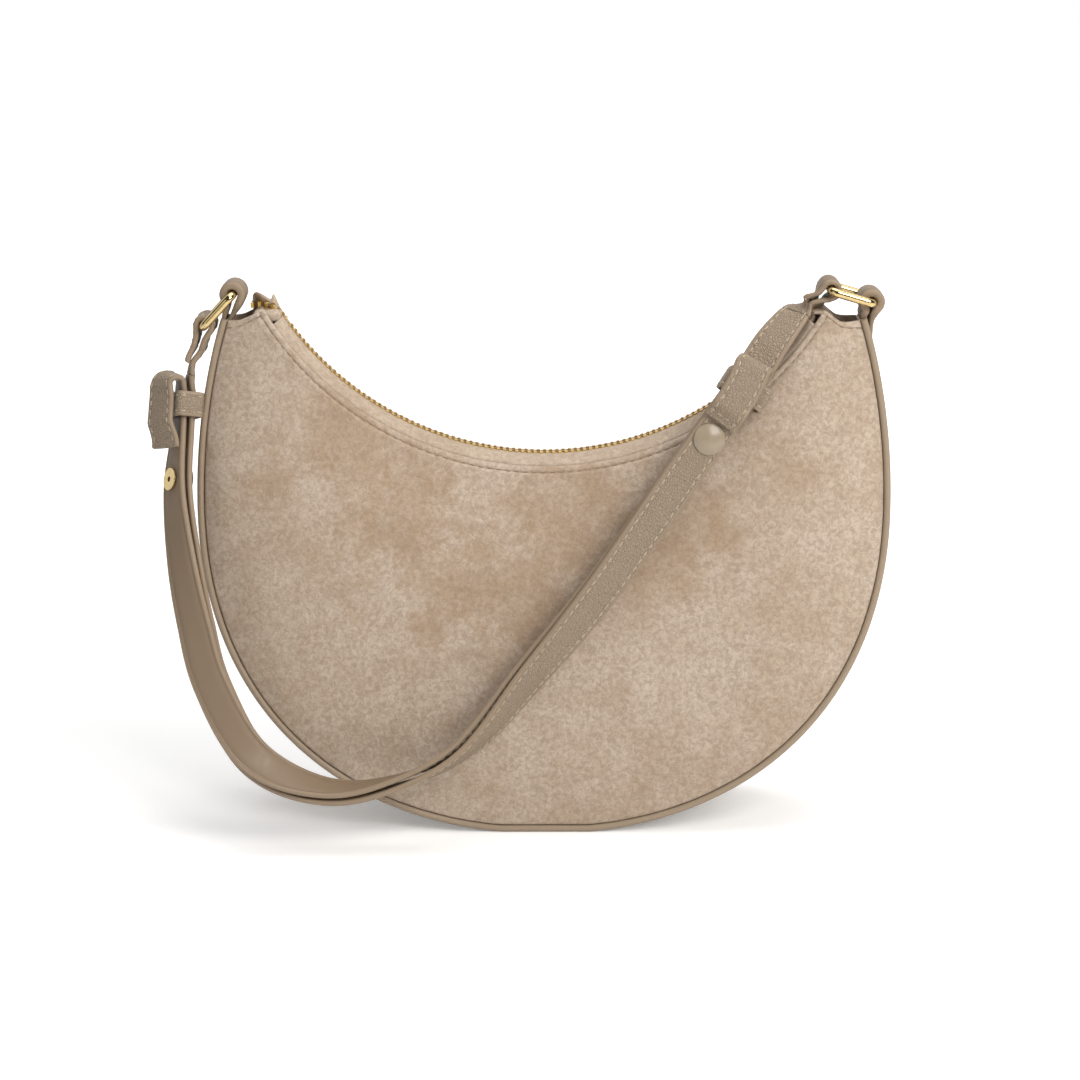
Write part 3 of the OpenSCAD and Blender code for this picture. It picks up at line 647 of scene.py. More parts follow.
# Reach of the flat edges, then size and height of the slow waves, the ripples and the puckers.
SOFT_TOP, SOFT_RIM, SOFT_END = 14, 12, 12
WAVE, WAVE_HIGH, RIPPLE, RIPPLE_HIGH, PUCKERS, PUCKER_HIGH = 0.016, 1.3, 3.1, 0.5, 26, 0.22
END_SOFT, PULL_AT, PULL_WIDE = 0.3, 4, 5
VEE_LOW, VEE_DEEP = {-1: 0.62, 1: 0.45}, {-1: 0.006, 1: 0.014}


def roll(d, r):
    """Drop of a round edge of radius r at distance d from it."""
    return r - math.sqrt(r ** 2 - (r - d) ** 2) if d < r else 0.0


def hem_u(u, v):
    """Pulls the panel's end edge down into a shallow V."""
    end = -1 if u < 0 else 1
    low, deep = VEE_LOW[end], VEE_DEEP[end]
    vee = min(v / low, (1 - v) / (1 - low))
    return u * (1 - deep * (vee + ease(vee)) / 2 * ease((abs(u) - (1 - HEM_SHARE)) / HEM_SHARE))


def panel_shape(u, d_top, d_rim, v, side):
    """How far the surface stands out (+) or in (-) from the plain panel, in millimetres."""
    d_end = (1 - abs(u)) * END_SPAN
    out = -max(roll(d_top, FOLD_R), roll(d_end, FOLD_R), roll(d_rim, TUCK))
    for d in (d_top, d_end):
        out -= STITCH_DIP * math.exp(-((d - STITCH_AT) / DIP_WIDE) ** 2)
    out += RIDGE_HIGH * math.exp(-((d_top - STITCH_AT - RIDGE_OFF) / RIDGE_WIDE) ** 2)
    x, _, z = panel_pt(u, v)
    soft = ease(d_top / SOFT_TOP) * ease(d_rim / SOFT_RIM) * (
        END_SOFT + (1 - END_SOFT) * ease(d_end / SOFT_END))
    place = Vector((x * WAVE, side * 3.7, z * WAVE))
    out += soft * (WAVE_HIGH * noise.noise(place) + RIPPLE_HIGH * noise.noise(place * RIPPLE))
    pull = math.exp(-((d_rim - PULL_AT) / PULL_WIDE) ** 2)
    out += PUCKER_HIGH * pull * noise.noise(Vector((u * PUCKERS, side, 2.0)))
    return out


def panel_span(u):
    e, r = edge_pt(u), rim_at(u, PIPING_D + RIM_GAP)
    return math.hypot(r[0] - e[0], r[1] - e[1])


def panel_surface(u, v, side, rise=0.0):
    """Point of the dressed panel's outer face."""
    span = panel_span(u)
    lift = panel_shape(u, v * span, span - v * span, v, side)
    x, y, z = panel_pt(hem_u(u, v), v, -lift - rise)
    return x, side * y, z


def velvet_panel(name, side, material, node):
    rings = []
    ends = [d / END_SPAN for d in NEAR]
    us = ([-1 + e for e in ends]
          + [(1 - ends[-1]) * (2 * i / PANEL_STEPS - 1) for i in range(1, PANEL_STEPS)]
          + [1 - e for e in reversed(ends)])
    for u in us:
        span = panel_span(u)
        near = [min(d, span * NEAR_SHARE * (k + 1) / len(NEAR)) for k, d in enumerate(NEAR)]
        far = [span - min(d, span * RIM_SHARE) for d in reversed(RIM_NEAR)]
        lo, hi = near[-1], far[0]
        vs = [d / span for d in
              near + [lo + (hi - lo) * k / MIDDLE for k in range(1, MIDDLE)] + far]
        outer = [panel_surface(u, v, side) for v in vs]
        inner = [panel_pt(hem_u(u, v), v, PANEL_T) for v in vs]
        rings.append(outer + [(x, side * y, z) for x, y, z in inner[::-1]])
    panel = settle(loft(name, rings, material), node, "bag")


velvet_panel("front_velvet_panel", -1, VELVET, "front_panel")
velvet_panel("back_velvet_panel", 1, VELVET_BACK, "back_panel")

# %% [markdown]
# ## Gusset, linings and the stiff bottom
# The gusset is one leather band that follows the outer curve and sinks a little between the two
# piped edges. Inside it lie its lining, a stiff sheet at the bottom, and the linings of both
# panels with a slip pocket. All are strips or patches offset from the same curves.

# %% Gusset and inner strips
BAND_POINTS, FLOOR_GAP = 9, 0.02
# How far inside the panels the linings lie, their thickness, and the pocket's way in from them.
LINING_GAP, LINING_T, POCKET_IN = 1.1, 0.5, 1.0
LINING_IN = PANEL_T + LINING_GAP
SIDES = (("front", -1), ("back", 1))


def band_ring(u, in0, in1, side_gap):
    """A loop across a band that follows the outer curve between two insets."""
    h = half_d(u) - side_gap
    outer, inner = [], []
    for k in range(BAND_POINTS):
        t = -1 + 2 * k / (BAND_POINTS - 1)
        a, b = rim_at(u, sink(u) + in0), rim_at(u, sink(u) + in1)
        outer.append((a[0], h * t, max(a[1], FLOOR_GAP) if in0 == 0 else a[1]))
        inner.append((b[0], h * t, b[1]))
    return outer + inner[::-1]


def band(name, in0, in1, side_gap, u_end, steps, material, node, skin_value=None):
    rings = [band_ring(u_end * i / steps, in0, in1, side_gap) for i in range(-steps, steps + 1)]
    skin = None if skin_value is None else [skin_value] * len(rings[0])
    settle(loft(name, rings, material, skin=skin), node, "bag")


# Each band's two insets from the outer curve, its gap at the sides, its reach and its steps.
band("gusset_band", 0, GUSSET_T, 0.1, 1.0, 130, TRIM_LEATHER, "gusset", 1.0)
band("gusset_inner_lining", 3.2, 3.7, 1.0, 0.966, 80, LINING, "gusset_lining")
band("bottom_board", 1.7, 2.9, 3.0, 0.3, 24, BOARD, "base_stiffener")


def patch(name, side, inward, node, u_end, v0, v1, steps, rows):
    """A sheet of lining behind a panel, up to u_end both ways and from v0 to v1 down."""
    rings = []
    for i in range(-steps, steps + 1):
        u = u_end * i / steps
        vs = [v0 + (v1 - v0) * k / rows for k in range(rows + 1)]
        outer = [panel_pt(u, v, inward) for v in vs]
        inner = [panel_pt(u, v, inward + LINING_T) for v in vs]
        rings.append([(x, side * y, z) for x, y, z in outer + inner[::-1]])
    settle(loft(name, rings, LINING), node, "bag")


for word, side in SIDES:
    patch(word + "_inner_lining", side, LINING_IN, word + "_lining", u_end=0.97, v0=0.03, v1=0.97,
          steps=50, rows=20)
patch("slip_pocket", 1, LINING_IN + POCKET_IN, "inner_pocket", u_end=0.34, v0=0.3, v1=0.84,
      steps=24, rows=12)

# %% [markdown]
# ## Piped edges with Geometry Nodes
# Piping is a cord wrapped in leather: a round section that follows one long curve. That is a
# rule, so a small node tree makes it. The tree takes a path of points, turns it into a curve,
# sweeps a circle along it and sets the leather. The result is then kept as a plain mesh.

# %% Tree helpers


def new_tree(name, inputs):
    tree = bpy.data.node_groups.new(name, "GeometryNodeTree")
    tree.interface.new_socket("Geometry", in_out="INPUT", socket_type="NodeSocketGeometry")
    for label, kind, default in inputs:
        socket = tree.interface.new_socket(label, in_out="INPUT", socket_type=kind)
        if default is not None:
            socket.default_value = default
    tree.interface.new_socket("Geometry", in_out="OUTPUT", socket_type="NodeSocketGeometry")
    return tree, tree.nodes.new("NodeGroupInput"), tree.nodes.new("NodeGroupOutput")


def finish_tree(tree, into, out, geometry):
    """Every tree ends in Realize Instances and Set Material."""
    real = tree.nodes.new("GeometryNodeRealizeInstances")
    paint = tree.nodes.new("GeometryNodeSetMaterial")
    tree.links.new(geometry, real.inputs["Geometry"])
    tree.links.new(real.outputs["Geometry"], paint.inputs["Geometry"])
    tree.links.new(into.outputs["Material"], paint.inputs["Material"])
    tree.links.new(paint.outputs["Geometry"], out.inputs["Geometry"])


def path_piece(name, paths):
    """A mesh of edges only, one chain for each path of points in millimetres."""
    points, edges = [], []
    for path in paths:
        first = len(points)
        points += [Vector(p) * MM for p in path]
        edges += [(k, k + 1) for k in range(first, len(points) - 1)]
    return mesh_piece(name, points, [], None, smooth=False, edges=edges)


def run_tree(obj, tree, **values):
    """Sets the named inputs, evaluates, and keeps the result as the object's own mesh."""
    modifier = obj.modifiers.new("maker", "NODES")
    modifier.node_group = tree
    for item in tree.interface.items_tree:
        if item.item_type == "SOCKET" and item.in_out == "INPUT" and item.name in values:
            modifier[item.identifier] = values[item.name]
    deps = bpy.context.evaluated_depsgraph_get()
    made = bpy.data.meshes.new_from_object(obj.evaluated_get(deps))
    obj.modifiers.clear()
    old = obj.data
    obj.data = made
    bpy.data.meshes.remove(old)
    made.name = obj.name
    return obj


def tube_tree():
    tree, into, out = new_tree("tube_along_path", [
        ("Radius", "NodeSocketFloat", 0.001), ("Sides", "NodeSocketInt", 16),
        ("Material", "NodeSocketMaterial", None)])
    curve = tree.nodes.new("GeometryNodeMeshToCurve")
    circle = tree.nodes.new("GeometryNodeCurvePrimitiveCircle")
    sweep = tree.nodes.new("GeometryNodeCurveToMesh")
    sweep.inputs["Fill Caps"].default_value = True
    links = tree.links
    links.new(into.outputs["Geometry"], curve.inputs["Mesh"])
    links.new(into.outputs["Radius"], circle.inputs["Radius"])
    links.new(into.outputs["Sides"], circle.inputs["Resolution"])
    links.new(curve.outputs["Curve"], sweep.inputs["Curve"])
    links.new(circle.outputs["Curve"], sweep.inputs["Profile Curve"])
    finish_tree(tree, into, out, sweep.outputs["Mesh"])
    return tree


TUBE = tube_tree()


def with_skin(obj, value):
    """Stores one skin number on every point of a piece."""
    layer = obj.data.attributes.new("skin", "FLOAT", "POINT")
    layer.data.foreach_set("value", np.full(len(obj.data.vertices), value, np.float32))
    obj.data.polygons.foreach_set("use_smooth", [True] * len(obj.data.polygons))
    return obj


# %% Piping
PIPE_STEPS, PIPE_SIDES = 190, 18


def piping(name, side, node):
    path = []
    for i in range(-PIPE_STEPS, PIPE_STEPS + 1):
        u = i / PIPE_STEPS
        x, z = rim_at(u, PIPING_R)
        path.append((x, side * (half_d(u) + PIPING_R), z))
    bead = run_tree(path_piece(name, [path]), TUBE, Radius=PIPING_R * MM, Sides=PIPE_SIDES,
                    Material=TRIM_LEATHER)
    settle(with_skin(bead, -1.0), node, "bag")


for word, side in SIDES:
    piping(word + "_piped_edge", side, word + "_piping")

# %% [markdown]
# ## Zip tapes
# On the bag the tape is faced with the same velvet, so a soft band shows on both sides of the
# teeth. It lies flat beside the teeth, slopes down to the panel's folded edge and disappears
# under it. Small puckers follow the stitches.

# %% Zip tapes
TAPE_END, TAPE_STEPS, TAPE_PUCKER = 56.59, 220, 0.16
# The tape's section as distance from the middle and height over the chain's curve.
TAPE_TOP = [(0.75, 0.2), (1.2, 0.33), (2.2, 0.36), (3.4, 0.5), (4.8, 0.25), (6.4, -0.35),
            (8.0, -1.15), (9.3, -1.9), (10.25, -2.6), (10.3, -3.6), (10.3, -4.5)]
TAPE_LOW = [(9.7, -4.5), (9.65, -3.6), (9.5, -2.9), (8.0, -1.9), (6.4, -1.1), (4.8, -0.55),
            (3.4, -0.35), (2.2, -0.3), (1.4, -0.3), (1.0, -0.28), (0.75, -0.2)]
PUCKERED = 3.0, 9.5


def zip_tape(name, side, node):
    rings = []
    for i in range(TAPE_STEPS + 1):
        a = -TAPE_END + 2 * TAPE_END * i / TAPE_STEPS
        pucker = TAPE_PUCKER * noise.noise(Vector((a * 0.9, side * 5.0, 0.3)))
        ring = []
        for k, (y, rise) in enumerate(TAPE_TOP + TAPE_LOW):
            soft = pucker if PUCKERED[0] < y < PUCKERED[1] and k < len(TAPE_TOP) else 0.0
            ring.append(chain_pt(a, side * y, rise + soft))
        rings.append(ring)
    settle(loft(name, rings, TAPE_VELVET), node, "bag")


for word, side in SIDES:
    zip_tape(word + "_zip_tape", side, "zip_tape_" + word)

# %% [markdown]
# ## Zip teeth with Geometry Nodes
# A metal chain is one tooth repeated at an even pitch along a curve. The tree resamples the
# chain's curve, turns a small tooth to the curve's direction at each point and places it. The
# same tree makes both rows: the second row starts half a pitch later and faces the other way.
# Past the bottom stop, a short tail of teeth curves over the velvet at the left horn.

# %% Teeth
TOOTH_PITCH = 2.5
TEETH_A0, TEETH_A1, TEETH_STEPS = -OPEN_A, CLOSED_A + 2, 300
# Boxes of one tooth as size and place: its body, its neck and its head.
TOOTH_BOXES = [((1.2, 1.9, 2.0), (0, 2.2, 0)), ((1.0, 1.4, 1.3), (0, 0.7, 0)),
               ((1.35, 0.7, 1.5), (0, -0.1, 0))]


def block(tree, size, place):
    """A cube node of that size, moved to that place, in millimetres."""
    cube = tree.nodes.new("GeometryNodeMeshCube")
    cube.inputs["Size"].default_value = [c * MM for c in size]
    move = tree.nodes.new("GeometryNodeTransform")
    move.inputs["Translation"].default_value = [c * MM for c in place]
    tree.links.new(cube.outputs["Mesh"], move.inputs["Geometry"])
    return move.outputs["Geometry"]


def teeth_tree():
    tree, into, out = new_tree("zip_teeth_row", [
        ("Pitch", "NodeSocketFloat", TOOTH_PITCH * MM), ("Facing", "NodeSocketFloat", 0.0),
        ("Material", "NodeSocketMaterial", None)])
    links = tree.links
    curve = tree.nodes.new("GeometryNodeMeshToCurve")
    points = tree.nodes.new("GeometryNodeCurveToPoints")
    points.mode = "LENGTH"
    aim = tree.nodes.new("FunctionNodeAlignRotationToVector")
    aim.axis, aim.pivot_axis = "X", "Y"
    spin = tree.nodes.new("FunctionNodeRotateRotation")
    spin.rotation_space = "LOCAL"
    place = tree.nodes.new("GeometryNodeInstanceOnPoints")
    join = tree.nodes.new("GeometryNodeJoinGeometry")
    for size, at in TOOTH_BOXES:
        links.new(block(tree, size, at), join.inputs["Geometry"])
    turn = tree.nodes.new("ShaderNodeCombineXYZ")
    links.new(into.outputs["Facing"], turn.inputs["Z"])
    links.new(turn.outputs[0], spin.inputs["Rotate By"])
    links.new(into.outputs["Geometry"], curve.inputs["Mesh"])
    links.new(curve.outputs["Curve"], points.inputs["Curve"])
    links.new(into.outputs["Pitch"], points.inputs["Length"])
    links.new(points.outputs["Tangent"], aim.inputs["Vector"])
    links.new(aim.outputs["Rotation"], spin.inputs["Rotation"])
    links.new(points.outputs["Points"], place.inputs["Points"])
    links.new(join.outputs["Geometry"], place.inputs["Instance"])
    links.new(spin.outputs["Rotation"], place.inputs["Rotation"])
    finish_tree(tree, into, out, place.outputs["Instances"])
    return tree


TEETH = teeth_tree()


def teeth_row(name, side, path, node=None):
    row = run_tree(path_piece(name, [path]), TEETH, Pitch=TOOTH_PITCH * MM,
                   Facing=math.pi if side < 0 else 0.0, Material=ZIP_GOLD)
    settle(row, node, "bag")


def between(a, b, c, d, t):
    """Value at the share t of the way from b to c, on a smooth curve through all four."""
    return b + (t / 2) * ((c - a) + t * ((2 * a - 5 * b + 4 * c - d) + t * (3 * (b - c) + d - a)))


def spline(corners, parts=8):
    """Points of a smooth curve through the corners."""
    dense = []
    for k in range(len(corners) - 1):
        near = [corners[min(max(k + j, 0), len(corners) - 1)] for j in (-1, 0, 1, 2)]
        dense += [tuple(between(*four, j / parts) for four in zip(*near)) for j in range(parts)]
    return dense + [corners[-1]]


TAIL = spline([(-104.7, 0, 209.2), (-107.0, 0, 211.9), (-109.8, 0, 213.5), (-112.8, 0, 214.0),
               (-116.0, 0, 213.6)])
for word, side in SIDES:
    shift = 0.5 * math.degrees(TOOTH_PITCH / ZIP_R) if side > 0 else 0.0
    teeth_row(word + "_teeth", side,
              [chain_pt(TEETH_A0 + shift + (TEETH_A1 - TEETH_A0) * k / TEETH_STEPS)
               for k in range(TEETH_STEPS + 1)],
              "zip_teeth_" + word)
    teeth_row(word + "_tail_teeth", -side, TAIL[4:] if side > 0 else TAIL)

# %% [markdown]
# ## Leather ribbons
# The strap, its folded tongues, the loops round the rings and the keepers are all leather
# ribbons. A ribbon follows points that each carry a direction outwards and a direction across.
# Its section is crowned a little, grooved under the stitches and rounded on the painted edges.

# %% Ribbon section and strap route
STRAP_W, STRAP_T = 14.6, 2.2
LAYER_OFF, PAIR_HALF = 1.7, 2.8
KEEPER_T, KEEPER_GAP, KEEPER_L = 1.4, 1.2, 10.0
TONGUE_OFF, REST_OFF, LOOP_R, LEG_L = 7.5, 4.2, 3.2, 10.0
REST_FROM, END_TRIM, BAR_REACH = 0.74, 0.35, 17.0
STITCH_REACH = STRAP_W / 2 - 2.1
EDGE_SHARE = [(-1, 0.0, 0), (-0.985, 0.42, 0), (-0.95, 0.76, 0), (-0.9, 0.97, 0.3)]
FACE_SHARE = [(-0.84, 1.02, 1), (-0.77, 1.0, 1), (-0.735, 0.9, 1), (-0.71, 0.84, 1),
              (-0.685, 0.9, 1), (-0.65, 1.02, 1), (-0.35, 1.07, 1), (0, 1.09, 1)]


def ribbon_profile():
    """(share across, share of thickness, skin) once round the section, from the left edge."""
    left = EDGE_SHARE + FACE_SHARE
    top = left + [(-w, n, s) for w, n, s in reversed(left[1:-1])]
    low = [(-w, -n, -s) for w, n, s in top]
    return top + [(1, 0.0, 0)] + low[1:]


PROFILE = ribbon_profile()
SKIN_OUT = [s for _, _, s in PROFILE]
SKIN_IN = [-s for s in SKIN_OUT]


def ribbon_ring(p, n, w, half_w, half_t):
    """One loop of the section, where n points outwards and w across."""
    return [p + w * (half_w * a) + n * (half_t * b) for a, b, _ in PROFILE]


def bar_at(x, z, a):
    """The ring's other bar, seen from the tab's bar at x, z under the angle a."""
    a = math.radians(a)
    return Vector((x + BAR_REACH * math.cos(a), 0, z + BAR_REACH * math.sin(a)))


def lean(a):
    """Direction that turns from +X towards +Z by a degrees, and the one square to it."""
    a = math.radians(a)
    return Vector((math.cos(a), 0, math.sin(a))), Vector((-math.sin(a), 0, math.cos(a)))


LEFT_TAB, RIGHT_TAB = Vector((-123.5, 0, 218.3)), Vector((130.0, 0, 215.4))
LEFT_LEG_A, RIGHT_LEG_A = 252.0, 224.0
LEFT_RING_A, RIGHT_RING_A = 227.0, 163.6
LEFT_BAR = bar_at(LEFT_TAB.x, LEFT_TAB.z, LEFT_RING_A)
RIGHT_BAR = bar_at(RIGHT_TAB.x, RIGHT_TAB.z, RIGHT_RING_A)
# The route between the legs, as shares of the half width, the base's depth and the height.
ROUTE_SHARES = [(-1.028, -0.045, 0.889), (-1.032, -0.09, 0.841), (-1.037, -0.17, 0.79),
                (-1.047, -0.38, 0.682), (-1.023, -0.63, 0.559), (-0.99, -0.77, 0.445),
                (-0.945, -0.845, 0.327), (-0.833, -0.91, 0.189), (-0.655, -0.93, 0.125),
                (-0.469, -0.92, 0.128), (-0.239, -0.88, 0.197), (-0.029, -0.79, 0.353),
                (0.167, -0.71, 0.511), (0.38, -0.53, 0.707), (0.465, -0.46, 0.785),
                (0.565, -0.385, 0.877), (0.641, -0.24, 0.956), (0.728, -0.04, 1.004)]
# The way the outer layer faces at each of these places.
FACING = [(0.97, 0.22, -0.1), (0.92, 0.4, 0), (0.89, 0.45, 0), (0.74, 0.67, 0), (0.5, 0.86, 0),
          (0.27, 0.95, 0), (0.1, 0.95, -0.2), (0, 0.75, -0.65), (0, 0.25, -0.97),
          (0.2, -0.15, -0.97), (0.4, -0.5, -0.75), (0.35, -0.85, -0.35), (0.15, -0.98, -0.1),
          (0, -1, 0), (0, -1, 0), (-0.05, -1, 0.05), (-0.3, -0.86, 0.33), (-0.5, -0.5, 0.65)]
LEFT_DIR, LEFT_FACE = lean(LEFT_LEG_A)
RIGHT_DIR, RIGHT_FACE = lean(RIGHT_LEG_A)
STATIONS = ([LEFT_BAR, LEFT_BAR + LEFT_DIR * LEG_L]
            + [Vector((a * HALF_W, b * BASE_D, c * BODY_H)) for a, b, c in ROUTE_SHARES]
            + [RIGHT_BAR + RIGHT_DIR * LEG_L, RIGHT_BAR])
FACES_AT = ([LEFT_FACE, LEFT_FACE] + [Vector(f) for f in FACING] + [-RIGHT_FACE, -RIGHT_FACE])
LAST = len(STATIONS) - 1
LOOK = 0.05


def weave(values, k):
    """Value of a smooth curve through the listed values, at a station that may be a fraction."""
    i = min(math.floor(k), LAST - 1)
    near = [values[min(max(j, 0), LAST)] for j in (i - 1, i, i + 1, i + 2)]
    return between(*near, k - i)


def strap_frame(k):
    """Place, direction along, direction outwards and direction across at a station."""
    p = weave(STATIONS, k)
    t = (weave(STATIONS, min(k + LOOK, LAST)) - weave(STATIONS, max(k - LOOK, 0))).normalized()
    n = weave(FACES_AT, k)
    n = (n - t * n.dot(t)).normalized()
    return p, t, n, t.cross(n)


def run(k0, k1, steps, off0, off1):
    """Frames (place, outwards, across) of one layer between two stations."""
    frames = []
    for i in range(steps + 1):
        p, _, n, w = strap_frame(k0 + (k1 - k0) * i / steps)
        frames.append((p + n * (off0 + (off1 - off0) * ease(i / steps)), n, w))
    return frames


FOLD_STEPS = 14


def fold(k, way, side):
    """Half a turn from the layer's place to the tongue's, towards the outer or inner side."""
    p, t, n, w = strap_frame(k)
    t, n, r = t * way, n * side, (TONGUE_OFF - LAYER_OFF) / 2
    frames = []
    for i in range(1, FOLD_STEPS):
        a = math.pi * i / FOLD_STEPS
        place = p + n * (LAYER_OFF + r * (1 - math.cos(a))) + t * (r * math.sin(a))
        frames.append((place, (n * math.cos(a) - t * math.sin(a)) * side, w))
    return frames


def turned(frames, along, degrees, shift):
    """Turns frames about the strap's direction and shifts them, more and more, then keeps so."""
    made = []
    for i, (p, n, w) in enumerate(frames):
        share = ease(i / along)
        spin = Matrix.Rotation(math.radians(degrees) * share, 3, n.cross(w))
        made.append((p + shift * share, spin @ n, spin @ w))
    return made


def back_run(k0, k1, steps, side):
    """Frames of a tongue that runs back over the strap and comes to rest near its end."""
    frames = []
    for i in range(steps + 1):
        p, _, n, w = strap_frame(k0 + (k1 - k0) * i / steps)
        rest = ease((i / steps - REST_FROM) / (1 - REST_FROM))
        off = TONGUE_OFF + (REST_OFF - TONGUE_OFF) * rest
        frames.append((p + n * (side * off), -n, w))
    return frames


def ribbon(name, frames, skin=tuple(SKIN_OUT), pebbled=range(0)):
    """Ends are rounded off. Both faces have pebbles at the frames numbered in pebbled."""
    def ring(k, back, trim):
        p, n, w = frames[k]
        q = frames[k + 1 if k == 0 else k - 1][0]
        return ribbon_ring(p + (q - p).normalized() * back, n, w, STRAP_W / 2 - trim,
                           STRAP_T / 2 - trim)

    last = len(frames) - 1
    rings = ([ring(0, 0.0, END_TRIM), ring(0, END_TRIM, 0.0)]
             + [ring(k, 0.0, 0.0) for k in range(1, last)]
             + [ring(last, END_TRIM, 0.0), ring(last, 0.0, END_TRIM)])
    skin, both = list(skin), [abs(value) for value in skin]
    skins = [both if k in pebbled else skin for k in [0, *range(last + 1), last]]
    return loft(name, rings, STRAP_LEATHER, skin=skins)


print("strap route: %d stations" % len(STATIONS))

# %% [markdown]
# ## The doubled strap
# The outer layer leaves the left ring, hangs down beside the bag, turns near its foot and climbs
# across its front, folds outwards over the right keeper and ends in a tongue. The inner layer does
# the same the other way round: its tongue folds over the left keeper, and its other end goes to
# the right ring.

# %% Strap layers
# Stations where the layers start, fold, end and change sides.
LEFT_NECK_K, RIGHT_NECK_K, CROSS_K = 2, 18.9, 17.6
OUTER_FOLD_K, OUTER_TIP_K, INNER_FOLD_K, INNER_TIP_K = 17.34, 16.33, 2.36, 4.4
OUTER_STEPS, INNER_STEPS, CROSS_STEPS, OUTER_BACK, INNER_BACK = 250, 245, 22, 36, 44
OUTER_EASE, INNER_EASE = 14, 16
TONGUE_TURN = 24.0
OUTER_SHIFT, INNER_SHIFT = Vector((-1.1, 0, 0.6)), Vector((-2.0, -0.5, 0))


def even_frames(frames):
    """Turns each frame's two directions so that they never flip along the ribbon."""
    fixed = [frames[0]]
    for p, n, w in frames[1:]:
        _, m, v = fixed[-1]
        fixed.append((p, n if n.dot(m) > 0 else -n, w if w.dot(v) > 0 else -w))
    return fixed


RIGHT_TONGUE = turned(fold(OUTER_FOLD_K, 1, 1)
                      + back_run(OUTER_FOLD_K, OUTER_TIP_K, OUTER_BACK, 1), OUTER_EASE, 0,
                      OUTER_SHIFT)
LEFT_TONGUE = turned(fold(INNER_FOLD_K, -1, -1)
                     + back_run(INNER_FOLD_K, INNER_TIP_K, INNER_BACK, -1), INNER_EASE,
                     TONGUE_TURN, INNER_SHIFT)
OUTER_FRAMES = even_frames(
    run(LEFT_NECK_K, OUTER_FOLD_K, OUTER_STEPS, LAYER_OFF, LAYER_OFF) + RIGHT_TONGUE)
INNER_FRAMES = even_frames(
    [(p, -n, w) for p, n, w in reversed(LEFT_TONGUE)]
    + run(INNER_FOLD_K, CROSS_K, INNER_STEPS, -LAYER_OFF, -LAYER_OFF)
    + run(CROSS_K, RIGHT_NECK_K, CROSS_STEPS, -LAYER_OFF, LAYER_OFF)[1:])
# Frame numbers in the middle of each fold, past which both faces show pebbles.
OUTER_MID, INNER_MID = OUTER_STEPS + 1 + FOLD_STEPS // 2, INNER_BACK + FOLD_STEPS // 2
settle(ribbon("strap_outer_layer", OUTER_FRAMES,
              pebbled=range(OUTER_MID, len(OUTER_FRAMES))), "strap_outer", "strap")
settle(ribbon("strap_inner_layer", INNER_FRAMES, SKIN_IN, range(INNER_MID)),
       "strap_inner", "strap")

# %% [markdown]
# ## Strap ends and necks
# Each end of the strap is sewn round its ring's bar as a drop-shaped loop, and a short neck
# follows the loop towards the rest of the strap.
# The loop's other leg goes on beside the neck as a second layer. The right end is twisted, so
# that its pebbled face turns to the front.

# %% Strap ends
LEG_END = LEG_L - 0.1
# One side of the loop before it goes round the bar, as distance along the leg and height.
LOOP_SIDE = [(LEG_END, LAYER_OFF), (LEG_END - 2.2, LAYER_OFF), (5.4, LAYER_OFF + 0.08),
             (3.6, 2.25), (1.9, 2.9)]
LOOP_FROM, LOOP_SWEEP, LOOP_STEPS, TWIST_FROM = 70, 220, 16, 2.0
RIGHT_TWIST = 30.0


def drop_loop(bar, out, up, twist=0.0):
    """Frames of a ribbon that comes up one side of the leg, round the bar and back."""
    points = list(LOOP_SIDE)
    for k in range(LOOP_STEPS + 1):
        a = math.radians(LOOP_FROM + LOOP_SWEEP * k / LOOP_STEPS)
        points.append((LOOP_R * math.cos(a), LOOP_R * math.sin(a)))
    points += [(s, -h) for s, h in reversed(LOOP_SIDE[:-1])]
    w = Vector((0, 1, 0))
    frames = []
    for k, (s, h) in enumerate(points):
        a, b = points[max(k - 1, 0)], points[min(k + 1, len(points) - 1)]
        t = (out * (b[0] - a[0]) + up * (b[1] - a[1])).normalized()
        turn = math.radians(twist) * ease((s - TWIST_FROM) / (LEG_END - TWIST_FROM))
        spin = Matrix.Rotation(turn, 3, out)
        frames.append((bar + out * s + spin @ (up * h), spin @ w.cross(t), spin @ w))
    return even_frames(frames)


STRAP_ENDS = {"left": (LEFT_BAR, LEFT_DIR, drop_loop(LEFT_BAR, LEFT_DIR, LEFT_FACE)),
              "right": (RIGHT_BAR, RIGHT_DIR,
                        drop_loop(RIGHT_BAR, RIGHT_DIR, -RIGHT_FACE, RIGHT_TWIST))}
for side, (bar, out, frames) in STRAP_ENDS.items():
    bend(ribbon(side + "_strap_loop", frames), side + "_strap_end")

# %% Necks
NECK_STEPS, UNTWIST_OVER = 18, 1.1
LEFT_BOW, SHORT_LEAN, SHORT_TIP_K = -1.2, 2.4, 1.6
LEG_ENDS_K = 1, LAST - 1


def neck_frames(k0, k1, off, bow=0.0, twist=0.0, closer=0.0):
    """Frames beside the neck's middle line, bowed sideways and twisted where a leg ends."""
    frames = []
    for i in range(NECK_STEPS + 1):
        k = k0 + (k1 - k0) * i / NECK_STEPS
        p, t, n, w = strap_frame(k)
        away = min(abs(k - end) for end in LEG_ENDS_K)
        near = 1 - ease(away / UNTWIST_OVER)
        spin = Matrix.Rotation(math.radians(twist) * near, 3, t)
        aside = Vector((bow * math.sin(math.pi * min(away, 1)) ** 2, 0, 0))
        place = p + spin @ n * (off + closer * (1 - near)) + aside
        frames.append((place, spin @ n, spin @ w))
    return frames


def bend_neck(obj, node):
    """Passes a neck piece to bend, which hides its solid and bakes its place into its points."""
    return bend(obj, node)


